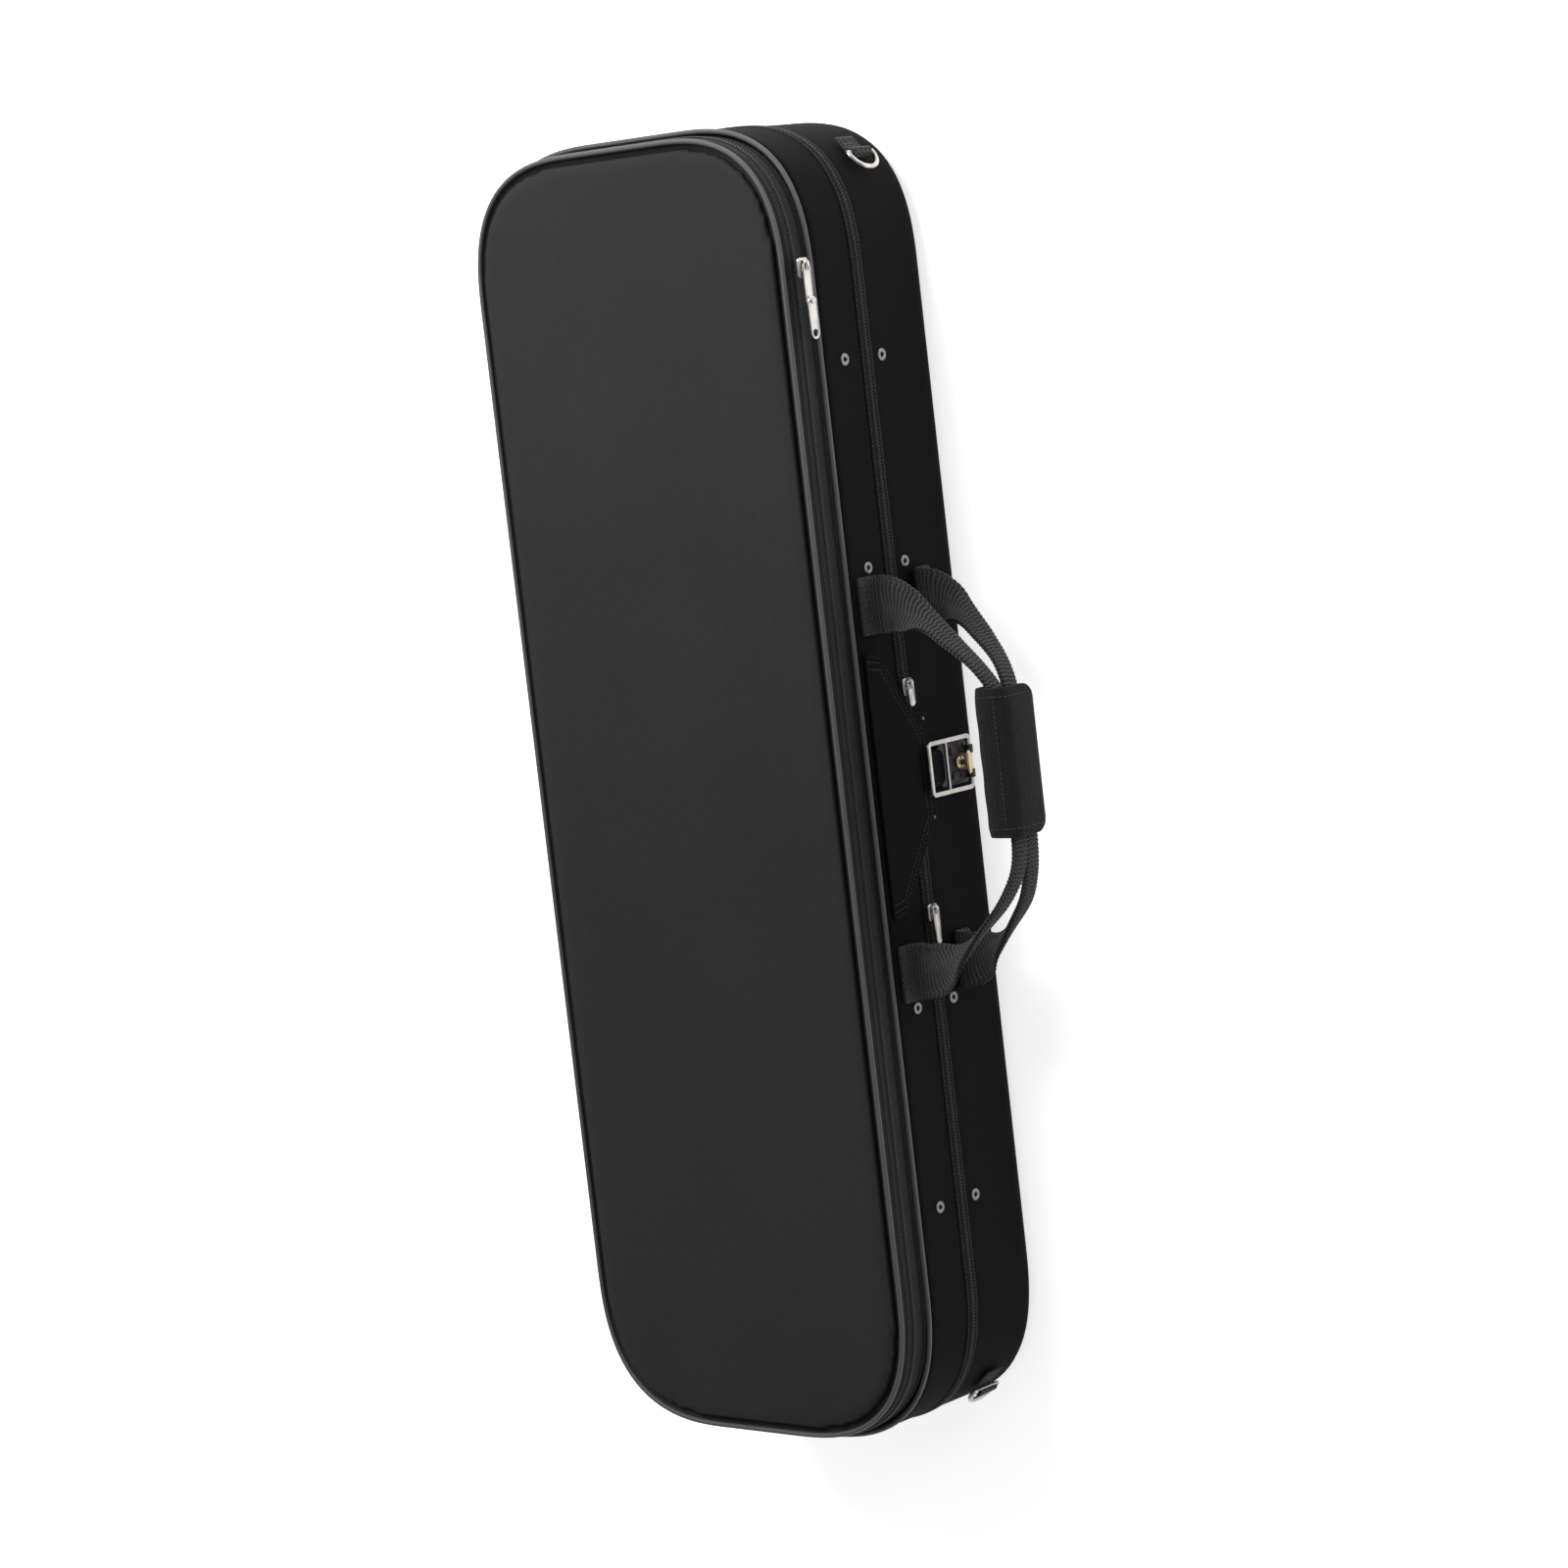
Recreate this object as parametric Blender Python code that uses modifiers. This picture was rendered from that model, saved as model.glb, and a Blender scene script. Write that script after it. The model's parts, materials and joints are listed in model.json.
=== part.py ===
"""Oblong violin case, lying on its base with the lid and the lid pocket closed.

+X runs along the case towards the scroll end, -Y is the side with the handles and the latch,
+Z points up through the lid. The origin is the middle of the base's flat underside.
Every length is in metres and every angle in degrees, unless a name says otherwise.
"""
import math

import bmesh
import bpy
from mathutils import Matrix, Vector

# ---- driving dimensions: the whole case ---------------------------------------------------
CASE_LENGTH = 0.800
CASE_WIDTH = 0.260
HEAD_CORNER = 0.0945          # plan radius of the two corners at the scroll end
FOOT_CORNER = 0.102           # plan radius of the two corners at the other end
CORNER_POWER = 2.73           # 2 is a circle, larger is squarer
CORNER_STEPS = 8
SPLIT_HEIGHT = 0.0641         # plane where base and lid meet
LID_HEIGHT = 0.0385           # from the split plane to the lid's top edge
POCKET_HEIGHT = 0.0237        # from the lid's top edge to the pocket panel's edge
GAP = 0.0003                  # clearance between pieces that rest on each other

# ---- walls, from the outside in -----------------------------------------------------------
COVER = 0.0010                # sewn fabric cover
WALL = 0.0040                 # stiff foam-board shell
FLOOR_PAD = 0.0040
LINING = 0.0040
BOTTOM_ROUND = 0.0120         # rounding between the base's underside and its walls
TOP_ROUND = 0.0040
TAPE = 0.0050                 # height of each half of the closure zip's tape
TAPE_PROUD = 0.0004

# ---- pocket on the lid --------------------------------------------------------------------
PANEL_INSET = 0.0056          # how far the panel's edge stands in from the side walls
PANEL_THICK = 0.0040
PANEL_CROWN = 0.0022
PIPING = 0.0018               # radius of the piping cords
GUSSET = 0.0011
POCKET_ZIP_HEIGHT = 0.0129    # zip line above the lid's top edge

# ---- fittings -----------------------------------------------------------------------------
RIVET_END = 0.256             # the outer rivets, either side of the middle
RIVET_MARGIN = 0.0008         # from the webbing's edge to the inner rivets' heads
RIVET_RISE = 0.0204           # lid rivets above the split plane
RIVET_DROP = 0.0136           # base rivets below it
RIVET_HEAD = 0.0038
RIVET_STEM = 0.0022
RIVET_BORE = 0.0013
RIVET_CAP = 0.0009
HINGE_X = (0.200, -0.200)
HINGE_WIDTH = 0.040
HINGE_LEAF = 0.0012
HINGE_REACH = 0.0180          # leaf height measured from the pin
HINGE_PIN = 0.0010
PIN_CLEARANCE = 0.0004
HINGE_KNUCKLE = 0.0120        # length of the middle knuckle
D_RING_WIRE = 0.0015
D_RING_WIDTH = 0.0250
D_RING_DROP = 0.0150
D_RING_HEIGHT = 0.0340        # middle of both rings above the ground
TAB_THICK = 0.0012
TAB_LENGTH = 0.0150

# ---- handles ------------------------------------------------------------------------------
HANDLE_MIDDLE = -0.0008       # plane that the two ends of each handle mirror about
HANDLE_SPREAD = 0.1108        # from that plane to the middle of each sewn end
WEBBING = 0.0350
WEBBING_THICK = 0.0022
INNER_RIVET = HANDLE_SPREAD + WEBBING / 2 + RIVET_HEAD + RIVET_MARGIN
RIVET_X = (RIVET_END, HANDLE_MIDDLE + INNER_RIVET, HANDLE_MIDDLE - INNER_RIVET, -RIVET_END)
FOLDED = 0.0125
FOLDED_THICK = 0.0045
STRAP_SPACING = 0.0144        # between the two folded straps inside the grip
GRIP_MIDDLE = 0.0130
GRIP_LENGTH = 0.0890
GRIP_OUT = 0.0765             # middle of the grip from the case's side wall
GRIP_DEEP = 0.0220
GRIP_TALL = 0.0330
GRIP_WALL = 0.0026
PIVOT_OUT = 0.0045            # where a handle leaves its sewn end
PIVOT_OFF = 0.0180            # above and below the split plane
ANCHOR_LENGTH = 0.0130

# ---- latch and zip sliders ----------------------------------------------------------------
FLAP_TOP = 0.160
FLAP_TIP = 0.052
FLAP_THICK = 0.0016
FLAP_MIDDLE = 0.0020
FLAP_DROP = 0.0150            # how far the flap's tip reaches below the split plane
FLAP_SHOULDER = 0.0120        # height of the flap's nearly straight upper ends
TONGUE_WIDTH = 0.0240
TONGUE_DROP = 0.0220
LATCH_WIDTH = 0.0340
LATCH_MIDDLE = 0.0058
LATCH_TOP = 0.0565
LATCH_LOW = 0.0172
LATCH_BAR = 0.0030
LATCH_THICK = 0.0022
LATCH_SPLIT = 0.52            # the centre bar's height, as a share of the frame's
LATCH_PROUD = 0.0050          # from the case's side wall to the frame's inner face
LOCK_PLATE = 0.0012
LOCK_MARGIN = 0.0040          # from the frame's side to the plate's
LOCK_CORNER = 0.0030
KNOB_RADIUS = 0.0034
KNOB_HEIGHT = 0.0222
KNOB_FLANGE = 0.0012
KNOB_CLEAR = 0.0014           # from the latch frame to the thumb piece
KNOB_THUMB = 0.0020
SLIDER_GAP = (0.0004, 0.0254)   # from the flap's slanted edges to the two sliders
SLIDER_SIZE = (0.0105, 0.0042, 0.0086)
SLIDER_BODY = 0.6             # share of the slider's depth that is its body, under the bridge
SLIDER_EDGE = 0.0011
SLIDER_TRAVEL_GAP = 0.0008
PULL_LENGTH = (0.0120, 0.0200)
PULL_WIDE = 0.0030            # half width of a closure pull at its eye
PULL_THICK = 0.0011
PULL_LIP = 0.0006             # metal in front of a pull's pivot
POCKET_SLIDER_X = 0.312
POCKET_SLIDER_STRETCH = 1.15
POCKET_PULL = 0.0230
POCKET_PULL_WIDE = 0.0037
POCKET_LINK = 0.0220

# ---- inside -------------------------------------------------------------------------------
CRADLE_CLEAR = 0.0022         # cradle to shell, room for the rivets' inner flanges
CRADLE_HEIGHT = 0.0420
RECESS_BODY_X = -0.135        # middle of the violin's body
LOWER_BOUT = 0.108
UPPER_BOUT = 0.088
WAIST = 0.064
BODY_HALF = 0.180
NECK_HALF = 0.0260
NECK_END = 0.325
ACCESSORY_NEAR = 0.108
ACCESSORY_FAR = 0.300
ACCESSORY_WALL = 0.0080
ACCESSORY_DEEP = 0.0780
ACCESSORY_CHAMFER = 0.0300    # across each compartment's far outer corner
BOX_LID_LENGTH = 0.0800
BOX_LID_WIDTH = 0.0360
BOX_LID_THICK = 0.0024
NECK_REST_X = 0.150
NECK_REST_LENGTH = 0.0300
NECK_REST_HEIGHT = 0.0240
NECK_NOTCH = 0.0110           # half width of the neck's seat at its mouth, and its depth
NECK_NOTCH_TAPER = 0.7
NECK_STRAP = 0.0016
NECK_STRAP_WIDTH = 0.0210
CLIP_X = 0.215
CLIP_Y = 0.055
CLIP_LENGTH = 0.0420
CLIP_COLLAR = 0.0055
CLIP_STEM = 0.0042
CLIP_BAR = 0.0062
CLIP_DROPS = (0.0060, 0.0130, 0.0164)   # ends of the collar, the stem and the bar, below the lining
TIP_X = -0.290
TIP_SECTION = (0.0160, 0.0130, 0.0130)  # half width at the lining, half width at the nose, depth
TIP_HOLE = 0.0046
TIP_LENGTH = 0.0300

# ---- colours: linear RGB, roughness, metallic ---------------------------------------------
LOOKS = {
    "cover_fabric": ((0.020, 0.020, 0.021), 0.85, 0.0),
    "panel_fabric": ((0.040, 0.040, 0.042), 0.75, 0.0),
    "webbing": ((0.030, 0.030, 0.031), 0.90, 0.0),
    "piping": ((0.075, 0.075, 0.078), 0.50, 0.0),
    "nickel": ((0.720, 0.690, 0.640), 0.25, 1.0),
    "brass": ((0.620, 0.500, 0.280), 0.30, 1.0),
    "board": ((0.160, 0.130, 0.100), 0.80, 0.0),
    "plush": ((0.110, 0.105, 0.110), 0.95, 0.0),
    "zip_tape": ((0.028, 0.028, 0.029), 0.80, 0.0),
}

HALF_LENGTH = CASE_LENGTH / 2
HALF_WIDTH = CASE_WIDTH / 2
LID_TOP = SPLIT_HEIGHT + LID_HEIGHT
PANEL_EDGE = LID_TOP + POCKET_HEIGHT
SHELL_INSET = COVER + GAP
INNER_INSET = SHELL_INSET + WALL
TAPE_LOW = SPLIT_HEIGHT - GAP - TAPE
TAPE_HIGH = SPLIT_HEIGHT + GAP + TAPE
HINGE_AXIS_Y = HALF_WIDTH + TAPE_PROUD + GAP + HINGE_PIN + PIN_CLEARANCE + HINGE_LEAF
GRIP_Y = -(HALF_WIDTH + GRIP_OUT)


def material(name):
    """One Principled material of the named colour, roughness and metallic value."""
    found = bpy.data.materials.get(name)
    if found:
        return found
    colour, roughness, metallic = LOOKS[name]
    made = bpy.data.materials.new(name)
    made.use_nodes = True
    shader = made.node_tree.nodes["Principled BSDF"]
    shader.inputs["Base Color"].default_value = (*colour, 1.0)
    shader.inputs["Roughness"].default_value = roughness
    shader.inputs["Metallic"].default_value = metallic
    made.diffuse_color = (*colour, 1.0)
    return made


def place(name, data, look, matrix=None):
    """Link an object with this mesh or curve to the case's collection."""
    item = bpy.data.objects.new(name, data)
    item.data.materials.append(material(look))
    if matrix is not None:
        item.matrix_world = matrix
    CASE.objects.link(item)
    return item


def mesh_from(bm, name):
    """Turn a bmesh into a mesh with its faces pointing outwards."""
    bmesh.ops.recalc_face_normals(bm, faces=bm.faces)
    mesh = bpy.data.meshes.new(name)
    bm.to_mesh(mesh)
    bm.free()
    return mesh


def baked(item):
    """Replace a curve, or an object with modifiers, by its evaluated mesh, welded."""
    graph = bpy.context.evaluated_depsgraph_get()
    graph.update()
    mesh = bpy.data.meshes.new_from_object(item.evaluated_get(graph))
    bm = bmesh.new()
    bm.from_mesh(mesh)
    bmesh.ops.remove_doubles(bm, verts=bm.verts, dist=0.00002)
    bmesh.ops.recalc_face_normals(bm, faces=bm.faces)
    bm.to_mesh(mesh)
    bm.free()
    name = item.name
    matrix = item.matrix_world.copy()
    bpy.data.objects.remove(item)
    made = bpy.data.objects.new(name, mesh)
    made.matrix_world = matrix
    CASE.objects.link(made)
    return made


def cutter(name, bm):
    """A hidden wire object for a Boolean modifier."""
    item = bpy.data.objects.new(name, mesh_from(bm, name))
    item.hide_render = True
    item.display_type = "WIRE"
    CUTTERS.objects.link(item)
    return item


def cut(item, tool):
    """Subtract the cutter from the object."""
    step = item.modifiers.new("cut", "BOOLEAN")
    step.operation = "DIFFERENCE"
    step.object = tool
    return step


def plan(inset, steps=CORNER_STEPS):
    """The case's outline seen from above, moved in by inset, clockwise from the rear scroll corner.

    A corner point is centre + (r - inset) * (cos t, sin t) ** (2 / CORNER_POWER).
    """
    points = []
    share = 2.0 / CORNER_POWER
    for end, radius, sweep in ((1, HEAD_CORNER, (90, -90)), (-1, FOOT_CORNER, (-90, -270))):
        for start in (sweep[0], sweep[0] - 90):
            for step in range(steps + 1):
                angle = math.radians(start - 90 * step / steps)
                c, s = math.cos(angle), math.sin(angle)
                side = 1 if (start in (90, -180)) else -1
                x = end * (HALF_LENGTH - radius) + end * (radius - inset) * abs(c) ** share
                y = side * (HALF_WIDTH - radius) + side * (radius - inset) * abs(s) ** share
                points.append((x, y))
    return points


def ring_loft(bm, rings, closed):
    """Join rings of equal length by quads; a closed loft joins the last ring to the first."""
    rows = [[bm.verts.new(p) for p in ring] for ring in rings]
    pairs = list(zip(rows, rows[1:]))
    if closed:
        pairs.append((rows[-1], rows[0]))
    for low, high in pairs:
        for i, vertex in enumerate(low):
            j = (i + 1) % len(low)
            bm.faces.new((vertex, low[j], high[j], high[i]))
    return rows


def plan_ring(inset, height):
    return [(x, y, height) for x, y in plan(inset)]


def tray(name, profile, thickness, look, floor=True):
    """An open-topped shell: the plan outline swept through (inset, height) pairs, closed at the first."""
    bm = bmesh.new()
    rows = ring_loft(bm, [plan_ring(*pair) for pair in profile], False)
    if floor:
        bm.faces.new(rows[0])
    item = place(name, mesh_from(bm, name), look)
    wall = item.modifiers.new("wall", "SOLIDIFY")
    wall.thickness = thickness
    wall.offset = -1
    wall.use_even_offset = True
    return item


def band(name, section, look):
    """A closed belt around the case whose cross-section is a polygon of (inset, height) pairs."""
    bm = bmesh.new()
    ring_loft(bm, [plan_ring(*pair) for pair in section], True)
    return place(name, mesh_from(bm, name), look)


def lump(name, profile, look):
    """A solid slab: the plan outline through (inset, height) pairs, closed at both ends."""
    bm = bmesh.new()
    rows = ring_loft(bm, [plan_ring(*pair) for pair in profile], False)
    bm.faces.new(rows[0])
    bm.faces.new(rows[-1])
    return place(name, mesh_from(bm, name), look)


def flat(name, outlines, thickness, look, matrix):
    """A flat plate: 2D outlines (the first solid, the others holes) given this thickness."""
    curve = bpy.data.curves.new(name, "CURVE")
    curve.dimensions = "2D"
    curve.fill_mode = "BOTH"
    curve.extrude = thickness / 2
    for points in outlines:
        spline = curve.splines.new("POLY")
        spline.points.add(len(points) - 1)
        spline.use_cyclic_u = True
        for slot, (x, y) in zip(spline.points, points):
            slot.co = (x, y, 0, 1)
    return baked(place(name, curve, look, matrix))


def wire(name, points, radius, look, matrix=None, cyclic=True, resolution=2):
    """A round wire or cord along the points."""
    curve = bpy.data.curves.new(name, "CURVE")
    curve.dimensions = "3D"
    curve.bevel_depth = radius
    curve.bevel_resolution = resolution
    curve.use_fill_caps = True
    spline = curve.splines.new("POLY")
    spline.points.add(len(points) - 1)
    spline.use_cyclic_u = cyclic
    for slot, point in zip(spline.points, points):
        slot.co = (*point, 1)
    return place(name, curve, look, matrix)


def turned(name, profile, steps, look, matrix):
    """A turned piece: a closed (radius, height) profile, outer side first and downwards, round local Z."""
    bm = bmesh.new()
    points = [bm.verts.new((r, 0, z)) for r, z in profile]
    for i, vertex in enumerate(points):
        bm.edges.new((vertex, points[(i + 1) % len(points)]))
    mesh = bpy.data.meshes.new(name)
    bm.to_mesh(mesh)
    bm.free()
    item = place(name, mesh, look, matrix)
    lathe = item.modifiers.new("lathe", "SCREW")
    lathe.steps = steps
    lathe.render_steps = steps
    lathe.use_merge_vertices = True
    lathe.merge_threshold = 0.00001
    return item


def block(name, size, centre, look, bevel=0.0):
    """A box with this size and middle, its edges rounded by bevel."""
    bm = bmesh.new()
    bmesh.ops.create_cube(bm, size=1.0, matrix=Matrix.Diagonal((*size, 1)))
    item = place(name, mesh_from(bm, name), look, Matrix.Translation(centre))
    if bevel:
        round_edges(item, bevel)
    return item


def round_edges(item, width, segments=2):
    edge = item.modifiers.new("edge", "BEVEL")
    edge.width = width
    edge.segments = segments
    edge.limit_method = "ANGLE"
    return edge


def axes(origin, x_axis, y_axis):
    """A placement whose local X and Y run along the two given directions."""
    x, y = Vector(x_axis).normalized(), Vector(y_axis).normalized()
    z = x.cross(y)
    turn = Matrix((x, y, z)).transposed().to_4x4()
    return Matrix.Translation(origin) @ turn


def arc(middle, radius, start, end, steps):
    """Points on a circle from start to end, both in degrees."""
    out = []
    for i in range(steps + 1):
        angle = math.radians(start + (end - start) * i / steps)
        out.append((middle[0] + radius * math.cos(angle), middle[1] + radius * math.sin(angle)))
    return out


# ---- shells, covers and closure -----------------------------------------------------------
def rounded_profile(inset, low, radius, top, steps=3):
    """(inset, height) pairs up a wall whose foot is a quarter circle of this radius."""
    pairs = []
    for i in range(steps + 1):
        angle = math.radians(90 * i / steps)
        pairs.append((inset + radius * (1 - math.sin(angle)), low + radius * (1 - math.cos(angle))))
    pairs.append((inset, top))
    return pairs


def mirrored_up(pairs, height):
    return [(inset, height - z) for inset, z in pairs]


def rivet_holes(name, height):
    """Four round holes through the front wall."""
    bm = bmesh.new()
    for x in RIVET_X:
        spot = Matrix.Translation((x, -HALF_WIDTH, height)) @ Matrix.Rotation(math.pi / 2, 4, "X")
        bmesh.ops.create_cone(bm, cap_ends=True, segments=10, depth=4 * WALL,
                              radius1=RIVET_STEM + GAP, radius2=RIVET_STEM + GAP, matrix=spot)
    return cutter(name, bm)


def build_base():
    holes = rivet_holes("base_rivet_holes", SPLIT_HEIGHT - RIVET_DROP)
    sides = rounded_profile(0, 0, BOTTOM_ROUND, TAPE_LOW - GAP)
    cover = tray("base_cover", sides, COVER, "cover_fabric", floor=False)
    cut(cover, holes)
    edge = BOTTOM_ROUND + GAP
    lump("base_bottom_panel", [(edge, 0), (edge, COVER)], "cover_fabric")
    shell = tray("base_shell", rounded_profile(SHELL_INSET, SHELL_INSET, BOTTOM_ROUND - SHELL_INSET,
                                               SPLIT_HEIGHT - GAP), WALL, "board")
    cut(shell, holes)
    band("base_zip_tape", [(-TAPE_PROUD, TAPE_LOW), (-TAPE_PROUD, SPLIT_HEIGHT - GAP),
                           (COVER, SPLIT_HEIGHT - GAP), (COVER, TAPE_LOW)], "zip_tape")
    pad_low = INNER_INSET + GAP
    pad_inset = INNER_INSET + BOTTOM_ROUND - SHELL_INSET
    lump("floor_pad", [(pad_inset, pad_low), (pad_inset - FLOOR_PAD, pad_low + FLOOR_PAD)], "plush")


def build_lid():
    holes = rivet_holes("lid_rivet_holes", SPLIT_HEIGHT + RIVET_RISE)
    depth = LID_TOP - TAPE_HIGH - GAP
    outer = mirrored_up(rounded_profile(0, 0, TOP_ROUND, depth, 2), LID_TOP)
    cover = tray("lid_cover", outer, COVER, "cover_fabric")
    cut(cover, holes)
    inner = rounded_profile(SHELL_INSET, SHELL_INSET, TOP_ROUND - SHELL_INSET, LID_HEIGHT - GAP, 2)
    shell = tray("lid_shell", mirrored_up(inner, LID_TOP), WALL, "board")
    cut(shell, holes)
    band("lid_zip_tape", [(-TAPE_PROUD, SPLIT_HEIGHT + GAP), (-TAPE_PROUD, TAPE_HIGH),
                          (COVER, TAPE_HIGH), (COVER, SPLIT_HEIGHT + GAP)], "zip_tape")
    top = LID_TOP - INNER_INSET - GAP
    lining_inset = INNER_INSET + LINING
    lump("lid_lining", [(lining_inset, top - LINING), (lining_inset, top)], "plush")


def build_pocket():
    """Gusset, zip line, panel and both piping cords of the flat pocket on the lid."""
    lean = PANEL_INSET - PIPING
    base = LID_TOP + GAP
    zip_line = LID_TOP + POCKET_ZIP_HEIGHT
    wire("lid_piping", plan_ring(PIPING * 0.4, LID_TOP + PIPING + GAP), PIPING, "piping", resolution=1)
    foot_inset = 2 * PIPING + GAP
    band("pocket_gusset_lower", [(foot_inset, base), (foot_inset, zip_line - GAP),
                                 (foot_inset + GUSSET, zip_line - GAP), (foot_inset + GUSSET, base)], "zip_tape")
    top = PANEL_EDGE - PANEL_THICK - GAP
    band("pocket_gusset_upper", [(foot_inset, zip_line), (lean + PIPING, top),
                                 (lean + PIPING + GUSSET, top), (foot_inset + GUSSET, zip_line)], "zip_tape")
    edge = PANEL_INSET + PIPING + GAP
    panel = lump("pocket_panel", [(edge, PANEL_EDGE - PANEL_THICK), (edge, PANEL_EDGE),
                                  (edge + 0.012, PANEL_EDGE + 0.6 * PANEL_CROWN),
                                  (edge + 0.040, PANEL_EDGE + PANEL_CROWN)], "panel_fabric")
    panel.data.shade_smooth()
    wire("panel_piping", plan_ring(PANEL_INSET, PANEL_EDGE - PIPING), PIPING, "piping", resolution=1)


# ---- rivets and hinges --------------------------------------------------------------------
def build_rivets():
    """Hollow rivets: a domed outer flange, a tube through cover and shell, a rolled inner flange."""
    grip = COVER + GAP + WALL
    head, stem, bore = RIVET_HEAD, RIVET_STEM, RIVET_BORE
    inner = -grip - 2 * GAP
    profile = [(bore, RIVET_CAP * 0.6), (stem, RIVET_CAP), (head * 0.86, RIVET_CAP * 0.7), (head, GAP),
               (stem, GAP), (stem, inner + GAP), (head * 0.85, inner + GAP),
               (head * 0.85, inner - RIVET_CAP), (bore, inner - RIVET_CAP)]
    for prefix, height in (("lid", SPLIT_HEIGHT + RIVET_RISE), ("base", SPLIT_HEIGHT - RIVET_DROP)):
        for number, x in enumerate(RIVET_X, 1):
            spot = axes((x, -HALF_WIDTH, height), (1, 0, 0), (0, 0, 1))
            turned(f"{prefix}_rivet_{number}", profile, 12, "nickel", spot)


def build_hinges():
    """Rolled steel butt hinges on the rear wall; the pin's middle is the lid's axis."""
    bore = HINGE_PIN + PIN_CLEARANCE
    barrel = bore + HINGE_LEAF
    leaf_inner = HINGE_AXIS_Y - barrel
    roll = arc((HINGE_AXIS_Y, 0), barrel, 180, 430, 10) + arc((HINGE_AXIS_Y, 0), bore, 430, 180, 8)
    outline = [(leaf_inner, HINGE_REACH)] + roll + [(leaf_inner + HINGE_LEAF, HINGE_REACH)]
    for number, x in enumerate(HINGE_X, 1):
        for part, way in (("lid", 1), ("base", -1)):
            spot = axes((x, 0, SPLIT_HEIGHT), (0, 1, 0), (0, 0, way))
            leaf = flat(f"hinge_{part}_leaf_{number}", [outline], HINGE_WIDTH, "nickel", spot)
            bm = bmesh.new()
            side = HINGE_WIDTH / 2
            reach = HINGE_KNUCKLE / 2 + GAP if part == "base" else HINGE_KNUCKLE / 2
            spans = ((-reach, reach),) if part == "base" else ((-side - GAP, -reach), (reach, side + GAP))
            tall = 2 * barrel + 2 * GAP
            for low, high in spans:
                size = Matrix.Diagonal((high - low, 3 * barrel, tall, 1))
                spot = Matrix.Translation((x + (low + high) / 2, HINGE_AXIS_Y, SPLIT_HEIGHT))
                bmesh.ops.create_cube(bm, size=1.0, matrix=spot @ size)
            cut(leaf, cutter(f"hinge_{part}_notch_{number}", bm))
        spot = axes((x, HINGE_AXIS_Y, SPLIT_HEIGHT), (0, 1, 0), (0, 0, 1))
        bm = bmesh.new()
        bmesh.ops.create_cone(bm, cap_ends=True, segments=10, radius1=HINGE_PIN, radius2=HINGE_PIN,
                              depth=HINGE_WIDTH + 2 * HINGE_LEAF)
        place(f"hinge_pin_{number}", mesh_from(bm, f"hinge_pin_{number}"), "nickel", spot)


# ---- shoulder-strap rings -----------------------------------------------------------------
def build_ring(name, end, radius, angle):
    """A D-shaped ring on a webbing tab, at this angle round one of the front corners."""
    share = 2.0 / CORNER_POWER
    turn = math.radians(angle)

    def on_corner(t):
        return Vector((end * (HALF_LENGTH - radius) + end * radius * math.cos(t) ** share,
                       -(HALF_WIDTH - radius) - radius * math.sin(t) ** share, D_RING_HEIGHT))

    spot = on_corner(turn)
    step = 0.05
    along = (on_corner(turn + step) - on_corner(turn - step)).normalized()
    if along.x > 0:
        along = -along
    out = Vector((along.y, -along.x, 0))
    if out.y > 0 and end > 0 or out.x * end < 0:
        out = -out
    inner = D_RING_WIRE + 2 * GAP
    outer = inner + TAB_THICK
    pivot = spot + out * (outer + 4 * GAP)
    frame = axes(pivot, -along, out)
    roll = arc((0, 0), outer, -90, 130, 8) + arc((0, 0), inner, 130, -90, 8)
    # the tab lies on the wall on one side of the ring, and rolls round the ring's bar
    roll = [(-x, y) for x, y in roll]
    strip = [(TAB_LENGTH, -outer)] + roll + [(TAB_LENGTH, -inner)]
    width = D_RING_WIDTH - 6 * D_RING_WIRE
    flat(f"{name}_tab", [strip], width, "webbing", frame)
    half = D_RING_WIDTH / 2 - D_RING_WIRE
    drop = D_RING_DROP - 2 * D_RING_WIRE
    bow = [(-drop * math.sin(math.radians(a)), 0.0, half * math.cos(math.radians(a)))
           for a in range(0, 181, 20)]
    wire(name, bow, D_RING_WIRE, "nickel", frame)


# ---- handles ------------------------------------------------------------------------------
def strap(name, route, look):
    """A webbing handle: sections (place, width, thickness, turn) from one sewn end to the other.

    The width lies along X at the sewn end and turns towards Z where the webbing is folded.
    """
    path = [(Vector(p), width, thick, turn) for p, width, thick, turn in route]
    bm = bmesh.new()
    rings = []
    for i, (spot, width, thick, turn) in enumerate(path):
        ahead = path[min(i + 1, len(path) - 1)][0] - path[max(i - 1, 0)][0]
        ahead.normalize()
        upright = Vector((0, 0, 1)) - ahead * ahead.z
        upright.normalize()
        level = ahead.cross(upright)
        across = (level * math.cos(math.radians(turn)) + upright * math.sin(math.radians(turn))) * width / 2
        through = across.cross(ahead).normalized() * thick / 2
        corner = 0.75
        rings.append([spot + across * corner + through, spot + across, spot + across * corner - through,
                      spot - across * corner - through, spot - across, spot - across * corner + through])
    rows = ring_loft(bm, rings, False)
    bm.faces.new(rows[0])
    bm.faces.new(rows[-1])
    return place(name, mesh_from(bm, name), look)


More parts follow.
